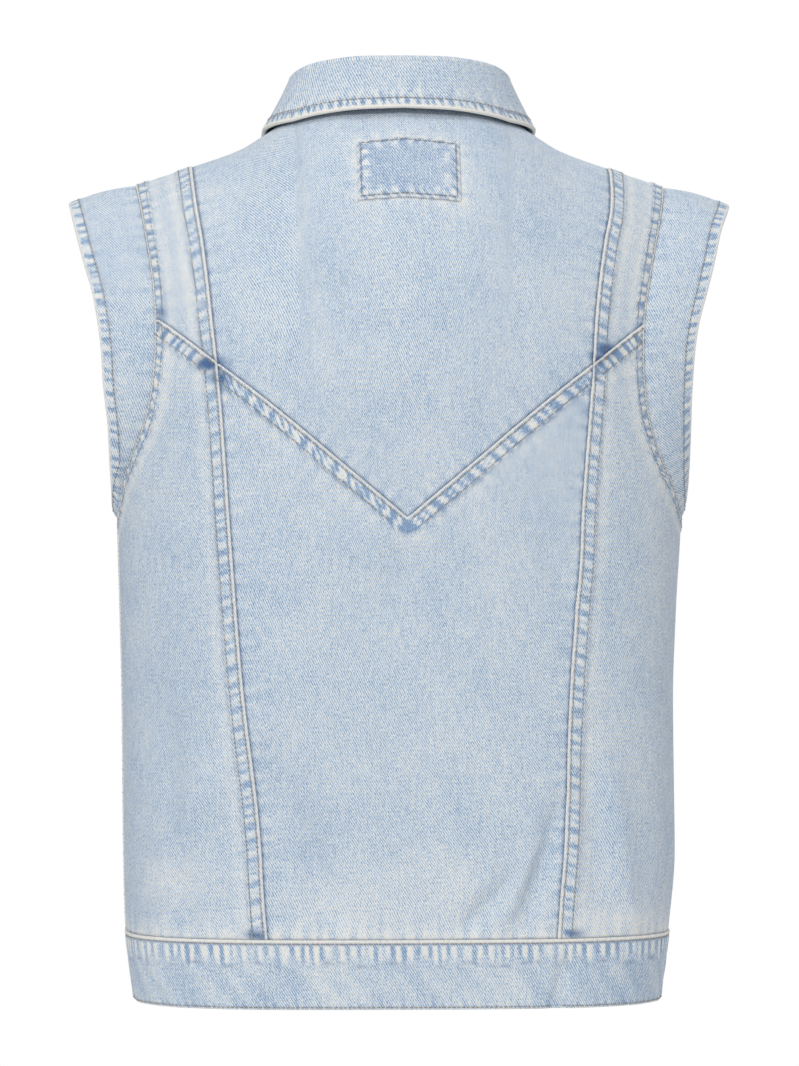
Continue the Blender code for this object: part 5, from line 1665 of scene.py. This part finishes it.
def make_stage():
    """White studio: floor below the hanging vest, soft lights, camera behind the back."""
    colours = bpy.context.scene.vest_colours
    scene = bpy.context.scene
    corners = np.array([[-1.0, -1.0], [1.0, -1.0], [1.0, 1.0], [-1.0, 1.0]]) * FLOOR_HALF
    points = np.column_stack([corners, np.full(4, FLOOR_HEIGHT)])
    mesh = bpy.data.meshes.new("studio_floor")
    mesh.from_pydata(points.tolist(), [], [(0, 1, 2, 3)])
    item, tree, shader = new_material("studio paper")
    shader.inputs["Base Color"].default_value = rgba(colours.studio)
    shader.inputs["Roughness"].default_value = 0.95
    mesh.materials.append(item)
    floor = bpy.data.objects.new("studio_floor", mesh)
    scene.collection.objects.link(floor)
    world = bpy.data.worlds.new("studio")
    world.use_nodes = True
    scene.world = world
    tree = world.node_tree
    tree.nodes.clear()
    seen = add(tree, "ShaderNodeBackground", {0: (1.0, 1.0, 1.0, 1.0), 1: 1.0})
    soft = add(tree, "ShaderNodeBackground", {0: (1.0, 1.0, 1.0, 1.0), 1: WORLD_LIGHT})
    path = add(tree, "ShaderNodeLightPath")
    mix = add(tree, "ShaderNodeMixShader", {0: path.outputs["Is Camera Ray"], 1: soft.outputs[0],
                                            2: seen.outputs[0]})
    add(tree, "ShaderNodeOutputWorld", {0: mix.outputs[0]})
    for name, place, aim_height, size, power in zip(*LIGHTS.values()):
        lamp = bpy.data.lights.new(name, "AREA")
        lamp.shape = "DISK"
        lamp.size = size
        lamp.energy = power
        light = bpy.data.objects.new(name, lamp)
        scene.collection.objects.link(light)
        aim_at(light, place, (0.0, 0.0, aim_height))
    yaw = math.radians(CAMERA_YAW)
    lens = bpy.data.cameras.new("photo_camera")
    lens.sensor_width = 36.0
    lens.sensor_fit = "AUTO"
    lens.lens = lens.sensor_width * CAMERA_FAR / (PHOTO_PIXELS[1] * PIXEL)
    camera = bpy.data.objects.new("photo_camera", lens)
    scene.collection.objects.link(camera)
    aim_at(camera, (CAMERA_FAR * math.sin(yaw), CAMERA_FAR * math.cos(yaw), CAMERA_HEIGHT),
           (0.0, 0.0, CAMERA_HEIGHT))
    scene.camera = camera
    scene.render.resolution_x, scene.render.resolution_y = PHOTO_PIXELS
    scene.view_settings.view_transform = "Standard"


def aim_at(item, place, aim):
    """Places an object and turns its -Z to an aim, with +Y up."""
    back = unit(np.array(place, float) - np.array(aim, float))
    right = unit(np.cross([0.0, 0.0, 1.0], back))
    up = np.cross(back, right)
    rows = np.stack([right, up, back, np.array(place, float)], -1)
    item.matrix_world = Matrix([*rows.tolist(), (0.0, 0.0, 0.0, 1.0)])


# Operators and panel


class VEST_OT_back(bpy.types.Operator):
    """Builds the yokes and lower panels of the back"""

    bl_idname = "vest.back"
    bl_label = "Back panels"

    def execute(self, context):
        make_back()
        return {"FINISHED"}


class VEST_OT_front(bpy.types.Operator):
    """Builds the fronts and plackets"""

    bl_idname = "vest.front"
    bl_label = "Fronts and plackets"

    def execute(self, context):
        make_front()
        return {"FINISHED"}


class VEST_OT_sleeves(bpy.types.Operator):
    """Builds the cap sleeves"""

    bl_idname = "vest.sleeves"
    bl_label = "Cap sleeves"

    def execute(self, context):
        make_sleeves()
        return {"FINISHED"}


class VEST_OT_collar(bpy.types.Operator):
    """Builds the collar"""

    bl_idname = "vest.collar"
    bl_label = "Collar"

    def execute(self, context):
        make_collar()
        return {"FINISHED"}


class VEST_OT_band(bpy.types.Operator):
    """Builds the hem band"""

    bl_idname = "vest.band"
    bl_label = "Hem band"

    def execute(self, context):
        make_band()
        return {"FINISHED"}


class VEST_OT_patch(bpy.types.Operator):
    """Builds the neck patch"""

    bl_idname = "vest.patch"
    bl_label = "Neck patch"

    def execute(self, context):
        make_patch()
        return {"FINISHED"}


class VEST_OT_buttons(bpy.types.Operator):
    """Builds the buttons and buttonholes"""

    bl_idname = "vest.buttons"
    bl_label = "Buttons"

    def execute(self, context):
        make_buttons()
        return {"FINISHED"}


class VEST_OT_stage(bpy.types.Operator):
    """Builds the floor, lights and camera"""

    bl_idname = "vest.stage"
    bl_label = "Studio"

    def execute(self, context):
        make_stage()
        return {"FINISHED"}


STEPS = (VEST_OT_back, VEST_OT_front, VEST_OT_sleeves, VEST_OT_collar, VEST_OT_band, VEST_OT_patch,
         VEST_OT_buttons, VEST_OT_stage)


class VEST_PT_panel(bpy.types.Panel):
    """Lists the settings and steps of the vest"""

    bl_label = "Vest"
    bl_idname = "VEST_PT_panel"
    bl_space_type = "VIEW_3D"
    bl_region_type = "UI"
    bl_category = "Vest"

    def draw(self, context):
        for group in (context.scene.vest_sizes, context.scene.vest_colours):
            for key in group.bl_rna.properties.keys():
                if key not in ("rna_type", "name"):
                    self.layout.prop(group, key)
        for step in STEPS:
            self.layout.operator(step.bl_idname)


CLASSES = (VestSizes, VestColours) + STEPS + (VEST_PT_panel,)


def register():
    """Adds the vest's settings, operators and panel."""
    for item in CLASSES:
        bpy.utils.register_class(item)
    bpy.types.Scene.vest_sizes = PointerProperty(type=VestSizes)
    bpy.types.Scene.vest_colours = PointerProperty(type=VestColours)


def unregister():
    """Removes the vest's settings, operators and panel."""
    del bpy.types.Scene.vest_colours
    del bpy.types.Scene.vest_sizes
    for item in reversed(CLASSES):
        bpy.utils.unregister_class(item)


def main():
    """Builds the vest."""
    register()
    bpy.ops.vest.back()
    bpy.ops.vest.front()
    bpy.ops.vest.sleeves()
    bpy.ops.vest.collar()
    bpy.ops.vest.band()
    bpy.ops.vest.patch()
    bpy.ops.vest.buttons()
    bpy.ops.vest.stage()


if __name__ == "__main__":
    main()
